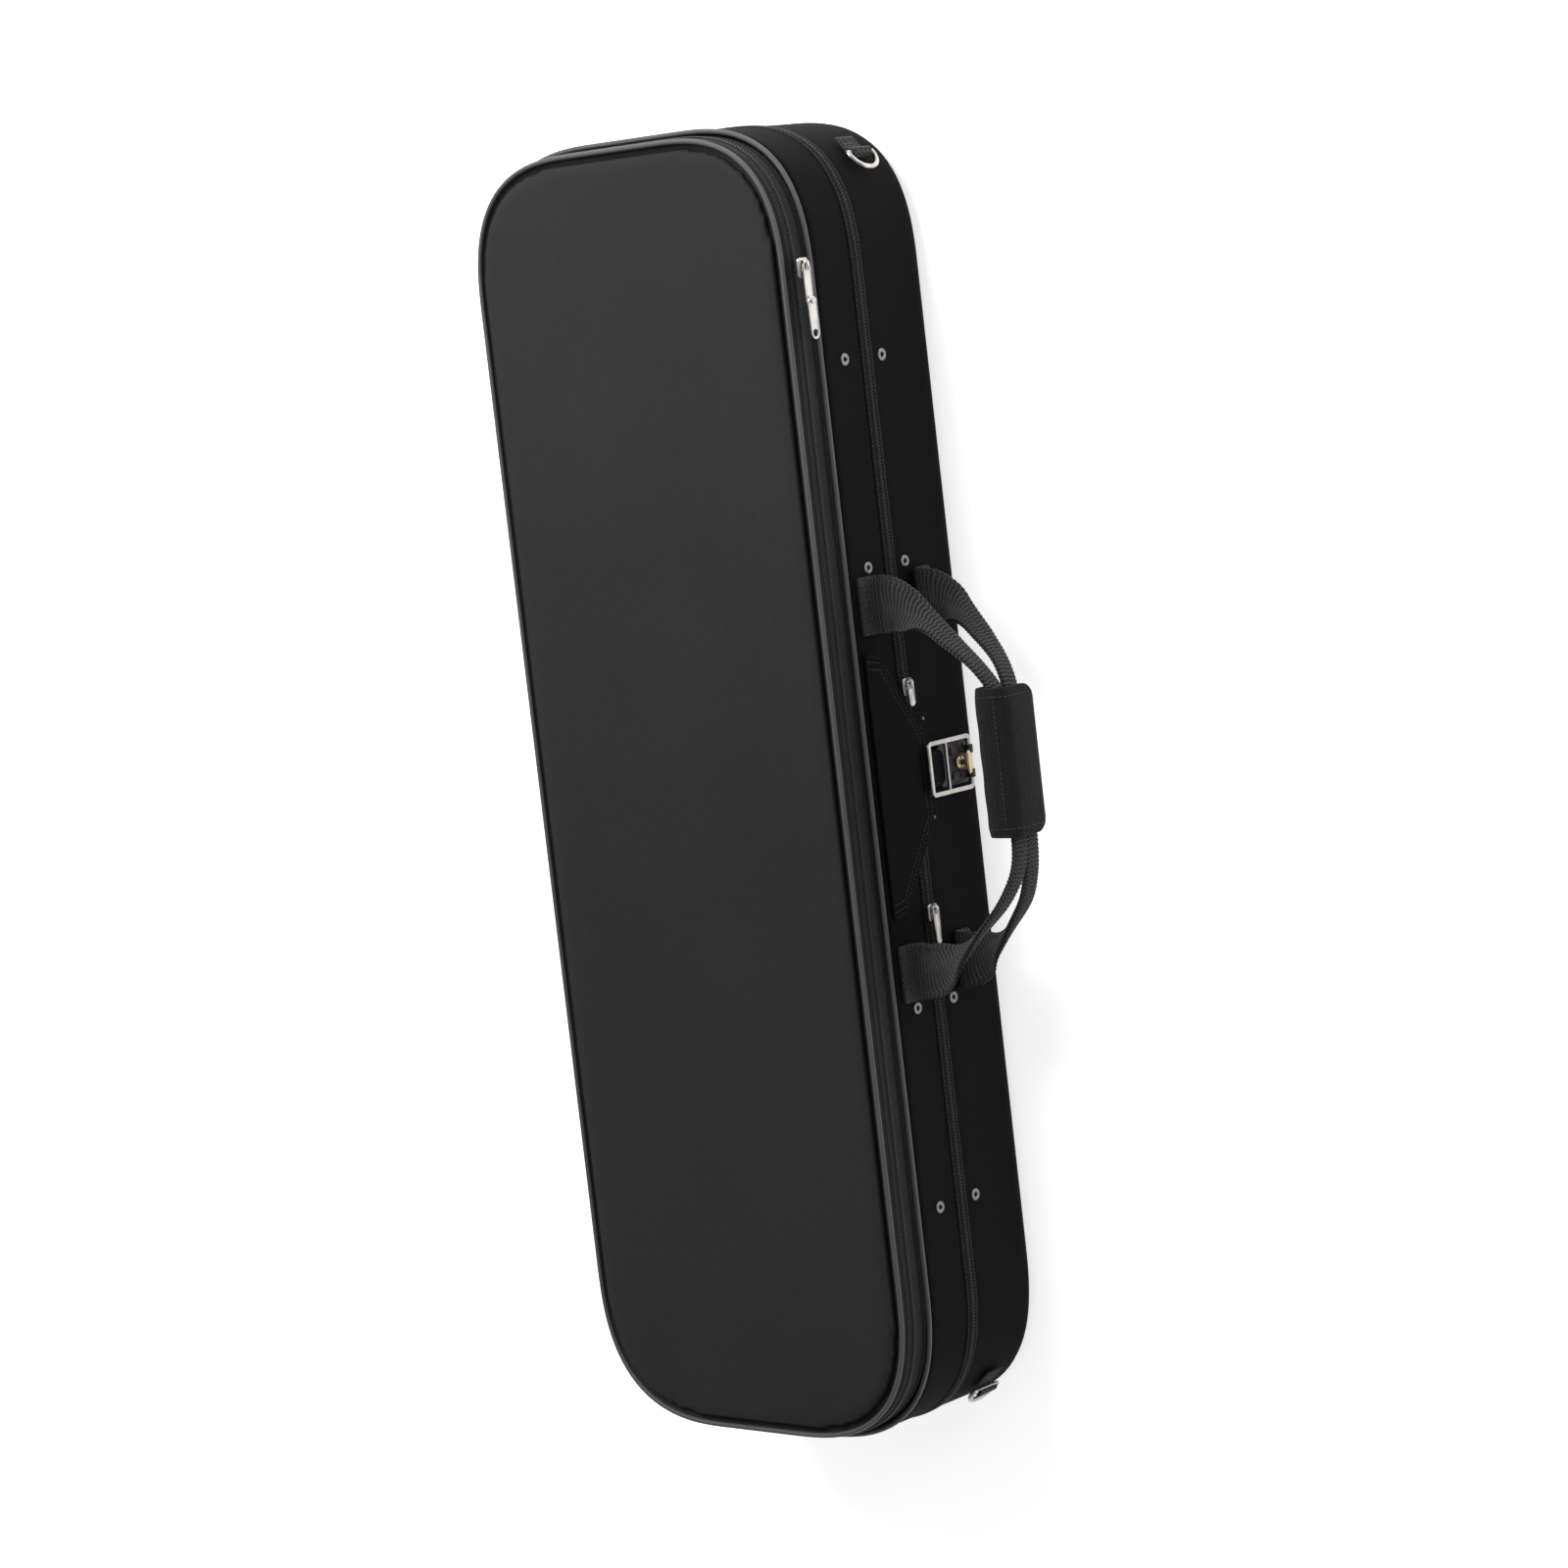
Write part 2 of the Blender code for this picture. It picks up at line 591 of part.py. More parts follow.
def half_route(way):
    """Sections of one half of a handle, from its pivot to the grip, at offset from the mirror plane.

    way is 1 for the lid's handle and -1 for the base's, which mirrors it in the split plane.
    """
    wall = -HALF_WIDTH
    pivot = PIVOT_OFF
    inside = STRAP_SPACING / 2
    thin, fold = WEBBING_THICK, FOLDED_THICK
    spread = HANDLE_SPREAD
    # place along the case, place outwards, height off the split plane, width, thickness, turn
    rows = [(spread, PIVOT_OUT, pivot, WEBBING, thin, 0),
            (spread - 0.001, PIVOT_OUT + 0.012, pivot + 0.0010, WEBBING * 0.94, thin, 0),
            (spread - 0.0045, PIVOT_OUT + 0.021, pivot + 0.0012, WEBBING * 0.80, thin * 1.2, 8),
            (spread - 0.0095, PIVOT_OUT + 0.031, pivot - 0.0002, FOLDED * 1.45, fold, 40),
            (spread - 0.0260, PIVOT_OUT + 0.050, pivot - 0.0034, FOLDED * 1.10, fold, 75),
            (spread - 0.0415, PIVOT_OUT + 0.064, (pivot + inside) / 2 - 0.0020, FOLDED, fold, 88),
            (spread - 0.0540, GRIP_OUT - 0.0012, inside, FOLDED, fold, 90)]
    return [((x, wall - out, SPLIT_HEIGHT + way * z), width, thick, turn) for x, out, z, width, thick, turn in rows]


def full_route(way):
    """Both halves of a handle and the straight stretch inside the grip."""
    head = half_route(way)
    route = [((HANDLE_MIDDLE + p[0], p[1], p[2]), w, t, turn) for p, w, t, turn in head]
    middle = ((GRIP_MIDDLE, GRIP_Y, SPLIT_HEIGHT + way * STRAP_SPACING / 2), FOLDED, FOLDED_THICK, 90)
    foot = [((HANDLE_MIDDLE - p[0], p[1], p[2]), w, t, 180 - turn) for p, w, t, turn in reversed(head)]
    return route + [middle] + foot


def build_handles():
    for prefix, way in (("lid", 1), ("base", -1)):
        strap(f"{prefix}_handle_loop", full_route(way), "webbing")
        for number, side in enumerate((1, -1), 1):
            x = HANDLE_MIDDLE + side * HANDLE_SPREAD
            low = PIVOT_OFF + WEBBING_THICK
            size = (WEBBING, WEBBING_THICK, ANCHOR_LENGTH)
            out = HALF_WIDTH + GAP + WEBBING_THICK / 2
            block(f"{prefix}_handle_anchor_{number}", size,
                  (x, -out, SPLIT_HEIGHT + way * (low + ANCHOR_LENGTH / 2)), "webbing", WEBBING_THICK / 4)
    build_grip()


def build_grip():
    """A padded sleeve on the lid's handle, open underneath where the base's handle comes out."""
    deep, tall, thick = GRIP_DEEP / 2, GRIP_TALL / 2, GRIP_WALL
    soft = deep * 0.6
    leg = -STRAP_SPACING / 2 - FOLDED / 2 + 0.0010
    quarter = (1 - math.sqrt(0.5)) * soft
    outer = [(deep, leg), (deep, tall - soft), (deep - quarter, tall - quarter), (deep - soft, tall),
             (soft - deep, tall), (quarter - deep, tall - quarter), (-deep, tall - soft), (-deep, leg)]
    inner = [(thick - deep, leg), (thick - deep, tall - soft), (soft - deep + thick / 2, tall - thick),
             (deep - soft - thick / 2, tall - thick), (deep - thick, tall - soft), (deep - thick, leg)]
    spot = axes((GRIP_MIDDLE, GRIP_Y, SPLIT_HEIGHT), (0, 1, 0), (0, 0, 1))
    flat("grip_wrap", [outer + inner], GRIP_LENGTH, "webbing", spot)


# ---- latch --------------------------------------------------------------------------------
def build_latch():
    wall = -HALF_WIDTH
    build_flap(wall)
    build_lock_plate(wall)

    frame_y = wall - LATCH_PROUD - LATCH_THICK / 2
    spot = axes((LATCH_MIDDLE, frame_y, LATCH_LOW), (1, 0, 0), (0, 0, 1))
    half, tall, bar = LATCH_WIDTH / 2, LATCH_TOP - LATCH_LOW, LATCH_BAR
    centre_bar = tall * LATCH_SPLIT
    inner = half - bar
    frame = flat("latch_frame", [
        [(-half, -bar / 2), (half, -bar / 2), (half, tall), (-half, tall)],
        [(-inner, bar / 2), (inner, bar / 2), (inner, centre_bar - bar / 2), (-inner, centre_bar - bar / 2)],
        [(-inner, centre_bar + bar / 2), (inner, centre_bar + bar / 2), (inner, tall - bar), (-inner, tall - bar)],
    ], LATCH_THICK, "nickel", spot)
    round_edges(frame, 0.0004, 1)

    foot = LOCK_PLATE + 2 * GAP
    flange, collar = foot + KNOB_FLANGE, KNOB_RADIUS * 1.1
    stem = KNOB_RADIUS * 0.55
    reach = LATCH_PROUD + LATCH_THICK + KNOB_CLEAR
    profile = [(KNOB_RADIUS, reach + KNOB_THUMB), (KNOB_RADIUS * 1.15, reach + KNOB_THUMB / 2),
               (KNOB_RADIUS, reach), (stem, reach), (stem, flange), (collar, flange), (collar, foot)]
    build_knob(profile, wall)


def flap_side():
    """One slanted side of the flap, from its tip to the lid's top edge: (half width, height above the split)."""
    top, tip = FLAP_TOP / 2, FLAP_TIP / 2
    rise = LID_HEIGHT - TOP_ROUND
    return [(tip * 0.9, -FLAP_DROP), (tip, -FLAP_DROP * 0.8), (top * 0.97, rise - FLAP_SHOULDER), (top, rise)]


def slider_places():
    """Where the two sliders rest: clear of the flap's slanted edge at the height of their upper ends."""
    _, (tip, low), (top, high), _ = flap_side()
    edge = tip + (top - tip) * (SLIDER_SIZE[2] / 2 - low) / (high - low) + SLIDER_SIZE[0] / 2
    return FLAP_MIDDLE + edge + SLIDER_GAP[0], FLAP_MIDDLE - edge - SLIDER_GAP[1]


def build_flap(wall):
    """The sewn flap over the closure zip, with the tongue that reaches under the latch frame."""
    spot = axes((FLAP_MIDDLE, wall - TAPE_PROUD - GAP - FLAP_THICK / 2, SPLIT_HEIGHT), (1, 0, 0), (0, 0, 1))
    tongue = TONGUE_WIDTH / 2
    shift = LATCH_MIDDLE - FLAP_MIDDLE
    side = flap_side()
    outline = [(-x, y) for x, y in reversed(side)]
    outline += [(shift - tongue, -FLAP_DROP), (shift - tongue, -TONGUE_DROP),
                (shift + tongue, -TONGUE_DROP), (shift + tongue, -FLAP_DROP)]
    flat("closure_flap", [outline + side], FLAP_THICK, "cover_fabric", spot)


def build_lock_plate(wall):
    """The plate on the base's wall that carries the knob, cut off where the wall rounds under."""
    low, high = LATCH_LOW - LATCH_BAR, SPLIT_HEIGHT - TONGUE_DROP - 2 * GAP
    half = (high - low) / 2
    spot = axes((LATCH_MIDDLE, wall - GAP - LOCK_PLATE / 2, low + half), (1, 0, 0), (0, 0, 1))
    wide = LATCH_WIDTH / 2 - LOCK_MARGIN
    foot = -half + max(0.0, BOTTOM_ROUND - low)
    corner = LOCK_CORNER
    outline = [(-wide, foot + corner), (corner - wide, foot), (wide - corner, foot), (wide, foot + corner),
               (wide, half - corner), (wide - corner, half), (corner - wide, half), (-wide, half - corner)]
    flat("lock_plate", [outline], LOCK_PLATE, "nickel", spot)


def build_knob(profile, wall):
    """A turned foot and stem with a flat thumb piece across it."""
    bm = bmesh.new()
    rings = []
    for radius, out in profile:
        thumb = out > LATCH_PROUD + LATCH_THICK
        wide, slim = (1.9, 0.62) if thumb else (1.0, 1.0)
        rings.append([(radius * wide * math.cos(a), radius * slim * math.sin(a), out)
                      for a in (math.tau * i / 12 for i in range(12))])
    rows = ring_loft(bm, rings, False)
    bm.faces.new(rows[0])
    bm.faces.new(rows[-1])
    spot = axes((LATCH_MIDDLE, wall, KNOB_HEIGHT), (1, 0, 0), (0, 0, 1))
    place("turn_knob", mesh_from(bm, "turn_knob"), "brass", spot)


# ---- zip sliders --------------------------------------------------------------------------
def pull_outline(length, wide, tip_wide, hole):
    """A tapered pull plate along local -X from its pivot, with a round end, and the eye's hole."""
    eye = PULL_LIP - wide
    body = arc((eye, 0), wide, 80, -80, 6) + [(eye - length * 0.35, -tip_wide)]
    body += arc((eye - length + tip_wide, 0), tip_wide, -90, -270, 6) + [(eye - length * 0.35, tip_wide)]
    return [body, arc((eye, 0), hole, 0, 330, 11)]


def build_closure_sliders():
    """Two sliders on the closure zip, each with a plain pull plate hanging from its bridge."""
    long, deep, tall = SLIDER_SIZE
    inner_y = -(HALF_WIDTH + TAPE_PROUD + SLIDER_TRAVEL_GAP)
    for number, (x, length) in enumerate(zip(slider_places(), PULL_LENGTH), 1):
        block(f"closure_slider_{number}", (long, deep * SLIDER_BODY, tall),
              (x, inner_y - deep * SLIDER_BODY / 2, SPLIT_HEIGHT), "nickel", SLIDER_EDGE)
        bridge_y = inner_y - deep
        spot = axes((x + PULL_WIDE - PULL_LIP, bridge_y, SPLIT_HEIGHT), (1, 0, 0), (0, 0, 1))
        outline = pull_outline(length, PULL_WIDE, PULL_WIDE * 0.85, PULL_WIDE * 0.4)
        flat(f"closure_pull_{number}", outline, PULL_THICK, "nickel", spot)


def build_pocket_slider():
    """The pocket zip's slider, its tapered pull plate and the round-ended link at the pull's end."""
    long, deep, tall = SLIDER_SIZE
    inner_y = -(HALF_WIDTH - PIPING * 0.4 + PIPING + GAP)
    height = LID_TOP + POCKET_ZIP_HEIGHT
    size = (long * POCKET_SLIDER_STRETCH, deep * SLIDER_BODY, tall)
    block("pocket_slider", size, (POCKET_SLIDER_X, inner_y - deep * SLIDER_BODY / 2, height),
          "nickel", SLIDER_EDGE)
    bridge_y = inner_y - deep
    wide = POCKET_PULL_WIDE
    pivot_x = POCKET_SLIDER_X + wide - PULL_LIP
    spot = axes((pivot_x, bridge_y, height), (1, 0, 0), (0, 0, 1))
    plate, eye = pull_outline(POCKET_PULL, wide, wide * 0.83, wide * 0.4)
    end = PULL_LIP - wide - POCKET_PULL + wide * 0.83
    flat("pocket_pull", [plate, eye, arc((end, 0), wide * 0.4, 0, 330, 11)], PULL_THICK, "nickel", spot)
    link_y = bridge_y - PULL_THICK - GAP
    spot = axes((pivot_x + end, link_y, height), (1, 0, 0), (0, 0, 1))
    loop = arc((0, 0), wide, 80, -80, 6) + arc((-POCKET_LINK + wide, 0), wide, -90, -270, 8)
    slot = arc((-POCKET_LINK + wide, 0), wide * 0.55, 0, 330, 11)
    flat("pocket_pull_link", [loop, slot], PULL_THICK, "nickel", spot)


# ---- inside -------------------------------------------------------------------------------
def violin_side():
    """The rear half of the recess for the violin's body: two bouts joined by a waist."""
    near, far = RECESS_BODY_X - BODY_HALF, RECESS_BODY_X + BODY_HALF
    side = [(near, 0.0)]
    for i in range(1, 25):
        t = i / 24
        x = near + (far - near) * t
        lower = LOWER_BOUT * math.exp(-((t - 0.26) / 0.30) ** 4)
        upper = UPPER_BOUT * math.exp(-((t - 0.80) / 0.21) ** 4)
        width = max(lower, upper, WAIST if 0.26 < t < 0.80 else 0.0)
        if width > NECK_HALF and t < 0.99:
            side.append((x, width))
    return side + [(far, NECK_HALF)]


def build_cradle(low):
    """The foam round the violin's body, and the foam box round its neck with two compartments."""
    middle = Matrix.Translation((0, 0, low + CRADLE_HEIGHT / 2))
    inset = INNER_INSET + CRADLE_CLEAR
    outline = plan(inset)
    half = len(outline) // 2
    wide = HALF_WIDTH - inset
    split = ACCESSORY_NEAR - ACCESSORY_WALL
    corner = outline[-len(outline) // 4:]
    side = [(x, max(y, GAP / 2)) for x, y in violin_side()]
    body = [(inset - HALF_LENGTH, GAP / 2)] + corner + [(split, wide), (split, NECK_HALF)] + side[::-1]
    for name, way in (("rear", 1), ("front", -1)):
        half_body = [(x, way * y) for x, y in body]
        flat(f"violin_cradle_{name}", [half_body], CRADLE_HEIGHT, "plush", middle)

    split += GAP
    bend = NECK_END - NECK_HALF / 2
    neck = [(split, NECK_HALF), (bend, NECK_HALF), (NECK_END, NECK_HALF / 2)]
    box = outline[:half] + [(split, -wide)] + [(x, -y) for x, y in neck] + neck[::-1] + [(split, wide)]
    near = NECK_HALF + ACCESSORY_WALL
    far = near + ACCESSORY_DEEP
    holes = []
    for way in (1, -1):
        holes.append([(ACCESSORY_NEAR, way * near), (ACCESSORY_NEAR, way * far),
                      (ACCESSORY_FAR - ACCESSORY_CHAMFER, way * far),
                      (ACCESSORY_FAR, way * (far - ACCESSORY_CHAMFER)), (ACCESSORY_FAR, way * near)])
    flat("accessory_box", [box, *holes], CRADLE_HEIGHT, "plush", middle)
    return far


def build_inside():
    low = INNER_INSET + FLOOR_PAD + 2 * GAP
    far = build_cradle(low)
    top = low + CRADLE_HEIGHT

    rest_wide = NECK_HALF - GAP
    deep = NECK_REST_HEIGHT
    foot, seat = NECK_NOTCH * NECK_NOTCH_TAPER, deep - NECK_NOTCH
    outline = [(-rest_wide, 0), (rest_wide, 0), (rest_wide, deep), (NECK_NOTCH, deep), (foot, seat),
               (-foot, seat), (-NECK_NOTCH, deep), (-rest_wide, deep)]
    spot = axes((NECK_REST_X, 0, low), (0, 1, 0), (0, 0, 1))
    flat("neck_rest", [outline], NECK_REST_LENGTH, "plush", spot)

    strap_wide = 2 * (rest_wide - NECK_STRAP)
    block("neck_strap", (NECK_STRAP_WIDTH, strap_wide, NECK_STRAP),
          (NECK_REST_X, 0, low + deep + 3 * GAP + NECK_STRAP / 2), "webbing")

    lid_x = ACCESSORY_NEAR + BOX_LID_LENGTH / 2
    lid_y = -(far - 2 * GAP - BOX_LID_WIDTH / 2)
    block("accessory_lid", (BOX_LID_LENGTH - 4 * GAP, BOX_LID_WIDTH, BOX_LID_THICK),
          (lid_x + 2 * GAP, lid_y, top - BOX_LID_THICK / 2), "plush")
    build_bow_fittings()


def build_bow_fittings():
    """Turn clips and tip sockets for two bows, under the lid's lining."""
    ceiling = LID_TOP - INNER_INSET - GAP - LINING - GAP
    collar_end, stem_end, bar_end = CLIP_DROPS
    step = 0.0004
    profile = [(CLIP_COLLAR, 0.0), (CLIP_COLLAR, collar_end), (CLIP_STEM, collar_end + step),
               (CLIP_STEM, stem_end), (CLIP_BAR, stem_end + step), (CLIP_BAR, bar_end)]
    for number, side in enumerate((1, -1), 1):
        bm = bmesh.new()
        rings = []
        for radius, down in profile:
            stretch = CLIP_LENGTH / 2 / radius if down > stem_end else 1.0
            rings.append([(radius * stretch * math.cos(a), radius * math.sin(a), down)
                          for a in (math.tau * i / 14 for i in range(14))])
        rows = ring_loft(bm, rings, False)
        bm.faces.new(rows[0])
        bm.faces.new(rows[-1])
        name = f"bow_clip_{number}"
        spot = axes((CLIP_X, side * CLIP_Y, ceiling), (1, 0, 0), (0, -1, 0))
        place(name, mesh_from(bm, name), "plush", spot)
        root, nose, deep = TIP_SECTION
        outer = [(-root, 0), (root, 0), (nose, deep), (-nose, deep)]
        hole = arc((0, deep / 2), TIP_HOLE, 0, 330, 11)
        spot = axes((TIP_X, side * CLIP_Y, ceiling), (0, 1, 0), (0, 0, -1))
        flat(f"bow_tip_holder_{number}", [outer, hole], TIP_LENGTH, "plush", spot)


for leftover in list(bpy.data.objects):
    bpy.data.objects.remove(leftover)
CASE = bpy.data.collections.new("violin_case")
CUTTERS = bpy.data.collections.new("cutters")
bpy.context.scene.collection.children.link(CASE)
bpy.context.scene.collection.children.link(CUTTERS)

build_base()
build_lid()
build_pocket()
build_rivets()
build_hinges()
build_ring("d_ring_head", 1, HEAD_CORNER, 50)
build_ring("d_ring_foot", -1, FOOT_CORNER, 42)
build_handles()
build_latch()
build_closure_sliders()
build_pocket_slider()
build_inside()
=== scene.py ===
# %% [markdown]
# # An oblong violin case in black cloth
# The case is a light board shell covered with sewn cloth, with a sheet-music pocket on its lid, a long
# zip round the join, a flap with a latch over the zip, two webbing handles and two rings for a strap.
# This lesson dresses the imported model, which stays as the frame that every piece rides on, with finer
# surfaces and with finishes made only from nodes. +X runs towards the scroll end, -Y is the handle side.

# %% Load the frame
import json
import math

import bmesh
import bpy
import numpy as np
from mathutils import Matrix, Vector


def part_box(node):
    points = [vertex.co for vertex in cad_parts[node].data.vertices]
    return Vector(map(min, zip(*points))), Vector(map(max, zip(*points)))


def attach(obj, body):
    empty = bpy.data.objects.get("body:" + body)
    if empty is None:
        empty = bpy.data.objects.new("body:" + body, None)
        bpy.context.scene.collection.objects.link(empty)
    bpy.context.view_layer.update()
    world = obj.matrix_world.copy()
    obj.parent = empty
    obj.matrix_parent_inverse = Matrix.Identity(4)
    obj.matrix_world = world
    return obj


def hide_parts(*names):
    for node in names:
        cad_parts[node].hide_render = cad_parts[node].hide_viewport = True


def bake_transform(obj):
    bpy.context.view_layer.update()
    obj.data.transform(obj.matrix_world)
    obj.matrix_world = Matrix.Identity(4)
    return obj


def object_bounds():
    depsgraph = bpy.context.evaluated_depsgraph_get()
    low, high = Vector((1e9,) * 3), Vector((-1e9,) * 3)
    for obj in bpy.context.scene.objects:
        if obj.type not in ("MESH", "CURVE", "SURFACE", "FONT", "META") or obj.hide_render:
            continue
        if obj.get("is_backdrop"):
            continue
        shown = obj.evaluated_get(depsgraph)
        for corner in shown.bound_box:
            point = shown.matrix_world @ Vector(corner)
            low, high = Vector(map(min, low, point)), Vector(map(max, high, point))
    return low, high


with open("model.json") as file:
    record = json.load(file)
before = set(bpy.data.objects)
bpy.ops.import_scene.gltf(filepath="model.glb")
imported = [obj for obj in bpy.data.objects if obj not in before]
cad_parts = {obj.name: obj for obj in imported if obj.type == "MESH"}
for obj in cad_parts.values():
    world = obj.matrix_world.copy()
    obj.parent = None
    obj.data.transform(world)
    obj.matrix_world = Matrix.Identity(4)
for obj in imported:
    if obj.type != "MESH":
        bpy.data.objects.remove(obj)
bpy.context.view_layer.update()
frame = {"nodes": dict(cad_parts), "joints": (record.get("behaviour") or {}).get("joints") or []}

# %% [markdown]
# ## Camera, light and floor
# A long lens held almost upright over the handle side shows the pocket panel and the long front wall at
# once, with the scroll end at the top of the picture. The large soft light stands behind the case and
# towards the scroll end: the panel's cloth then brightens upwards and the front wall stays dark.

# %% Camera
camera_data = bpy.data.cameras.new("camera")
camera_data.lens = 101.87
camera_data.sensor_width = 36.0
camera = bpy.data.objects.new("camera", camera_data)
bpy.context.scene.collection.objects.link(camera)
EYE = (0.30855, -1.84653, 2.07454)
RIGHT = (-0.11388, -0.74488, -0.65741)
UP = (0.98705, -0.00958, -0.16013)
BACK = (0.11299, -0.66713, 0.73632)
camera.matrix_world = Matrix.Translation(EYE) @ Matrix((RIGHT, UP, BACK)).transposed().to_4x4()
bpy.context.scene.camera = camera


# %% Soft lights
def soft_light(name, place, target, size, watts):
    """A square area light at place, facing target."""
    data = bpy.data.lights.new(name, "AREA")
    data.size, data.energy = size, watts
    lamp = bpy.data.objects.new(name, data)
    lamp.location = place
    lamp.rotation_mode = "QUATERNION"
    lamp.rotation_quaternion = (Vector(target) - Vector(place)).to_track_quat("-Z", "Y")
    bpy.context.scene.collection.objects.link(lamp)


soft_light("key", (1.15, 0.35, 1.2), (0.15, 0.0, 0.1), 1.0, 34)
soft_light("glint", (0.9, -1.7, 0.9), (0.05, -0.15, 0.05), 0.5, 3)
world = bpy.data.worlds.new("studio")
bpy.context.scene.world = world
world.use_nodes = True
background = world.node_tree.nodes["Background"]
background.inputs["Color"].default_value = (1.0, 1.0, 1.0, 1.0)
background.inputs["Strength"].default_value = 0.36
bpy.context.scene.view_settings.view_transform = "Standard"


# %% [markdown]
# ## Shader sums as Python sums
# A finish is easiest to read as a formula. One small class wraps a shader socket, so that
# 0.5 + 0.2 * noise adds its own Math nodes. Every other node comes from Finish.node, which sets the
# node's own settings first and then the values or links of its sockets.

# %% Sockets and finishes
class Wire:
    """One output socket of a material; sums with numbers or other wires add Math nodes."""

    def __init__(self, finish, socket):
        self.finish, self.socket = finish, socket

    def _sum(self, operation, first, second):
        return self.finish.node("ShaderNodeMath", {"operation": operation}, {0: first, 1: second})

    def __add__(self, other): return self._sum("ADD", self, other)
    def __radd__(self, other): return self._sum("ADD", other, self)
    def __sub__(self, other): return self._sum("SUBTRACT", self, other)
    def __rsub__(self, other): return self._sum("SUBTRACT", other, self)
    def __mul__(self, other): return self._sum("MULTIPLY", self, other)
    def __rmul__(self, other): return self._sum("MULTIPLY", other, self)
    def sin(self): return self._sum("SINE", self, 0.0)


class Finish:
    """A material built from nodes round one Principled shader."""

    def __init__(self, name, **constants):
        self.material = bpy.data.materials.new(name)
        self.material.use_nodes = True
        self.tree = self.material.node_tree
        self.shader = self.tree.nodes["Principled BSDF"]
        for socket, value in constants.items():
            self.shader.inputs[socket.replace("_", " ")].default_value = value

    def put(self, socket, value):
        """Link a wire to a socket, or set its value."""
        if isinstance(value, Wire):
            self.tree.links.new(value.socket, socket)
        elif value is not None:
            socket.default_value = (*value, 1.0) if socket.type == "RGBA" and len(value) == 3 else value

    def node(self, kind, settings=None, sockets=None, out=0):
        """Add a node: its settings first, then its sockets by name or number."""
        made = self.tree.nodes.new(kind)
        for key, value in (settings or {}).items():
            setattr(made, key, value)
        for key, value in (sockets or {}).items():
            self.put(made.inputs[key], value)
        return Wire(self, made.outputs[out])

    def feed(self, **wires):
        """Link or set the shader's own sockets, and hand back the material."""
        for socket, value in wires.items():
            self.put(self.shader.inputs[socket.replace("_", " ")], value)
        return self.material

    def place(self, uv=False):
        """Object coordinates, or the piece's own UV map, both in metres."""
        if uv:
            return self.node("ShaderNodeUVMap", {"uv_map": "UVMap"})
        return self.node("ShaderNodeTexCoord", out=3)

    def parts(self, vector):
        """The X, Y and Z of a vector as three wires."""
        split = self.tree.nodes.new("ShaderNodeSeparateXYZ")
        self.put(split.inputs[0], vector)
        return [Wire(self, socket) for socket in split.outputs]

    def noise(self, vector, scale, detail=2.0):
        """Cloudy noise from 0 to 1, scale times per metre."""
        return self.node("ShaderNodeTexNoise", {}, {"Vector": vector, "Scale": scale, "Detail": detail})

    def mix(self, share, first, second):
        """Colour from first to second as share goes from 0 to 1."""
        return self.node("ShaderNodeMix", {"data_type": "RGBA"}, {0: share, 6: first, 7: second}, out=2)

    def bump(self, height, distance, strength=1.0):
        """A normal tilted by a height that is distance metres from 0 to 1."""
        return self.node("ShaderNodeBump", {},
                         {"Height": height, "Distance": distance, "Strength": strength})


# %% [markdown]
# ## Cloth, cord, tape and metal
# The case's cloth is a close plain weave: threads about 0.6 mm apart go over and under in turn, so its
# height is the product of two sine waves. Thread colour, slubs and rubbed places come from noise at
# three sizes. Webbing has coarse ribs across it, and its edges curl over.

# %% Woven finishes
THREAD = 0.0006


def woven(name, dark, light, uv=False, pitch=THREAD, relief=0.00012, slub=0.0004, roughness=0.82, sheen=0.0,
          gloss=0.06):
    """Plain weave: height = sin(2 pi u / pitch) * sin(2 pi v / pitch), with slubs and worn patches."""
    cloth = Finish(name, Sheen_Weight=sheen, Sheen_Roughness=0.45, Specular_IOR_Level=gloss)
    spot = cloth.place(uv)
    u, v, w = cloth.parts(spot)
    turn = 2 * math.pi / pitch
    across = (v + w) if not uv else v
    weave = (u * turn).sin() * (across * turn).sin()
    grain = cloth.noise(spot, 1 / slub, 3.0)
    patches = cloth.noise(spot, 9.0, 3.0)
    streaks = cloth.noise(spot, 260.0, 2.0)
    tone = 0.30 * grain + 0.25 * streaks + 0.30 * patches + 0.15 * (0.5 + 0.5 * weave)
    height = 0.45 * weave + 0.9 * grain
    normal = cloth.bump(height, relief, 0.9)
    cloth.feed(Base_Color=cloth.mix(tone, dark, light), Roughness=roughness - 0.14 + 0.24 * grain,
               Normal=normal)
    return cloth.material


PANEL_CLOTH = woven("panel_cloth", (0.0096, 0.0096, 0.0099), (0.032, 0.032, 0.033), roughness=0.62,
                    sheen=0.02, gloss=0.12)
SIDE_CLOTH = woven("side_cloth", (0.0030, 0.0030, 0.0032), (0.0085, 0.0085, 0.0088), uv=True)
FLAP_CLOTH = woven("flap_cloth", (0.0030, 0.0030, 0.0032), (0.0090, 0.0090, 0.0094), slub=0.0005)
BINDING = woven("binding_tape", (0.0040, 0.0040, 0.0042), (0.012, 0.012, 0.0124), uv=True, pitch=0.0011)
ZIP_TAPE = woven("zip_tape", (0.0034, 0.0034, 0.0036), (0.012, 0.012, 0.0123), uv=True, pitch=0.0009,
                 relief=0.00016, gloss=0.12)
GUSSET_TAPE = woven("gusset_tape", (0.0100, 0.0100, 0.0103), (0.046, 0.046, 0.047), uv=True, pitch=0.0016,
                    relief=0.00025, gloss=0.12)


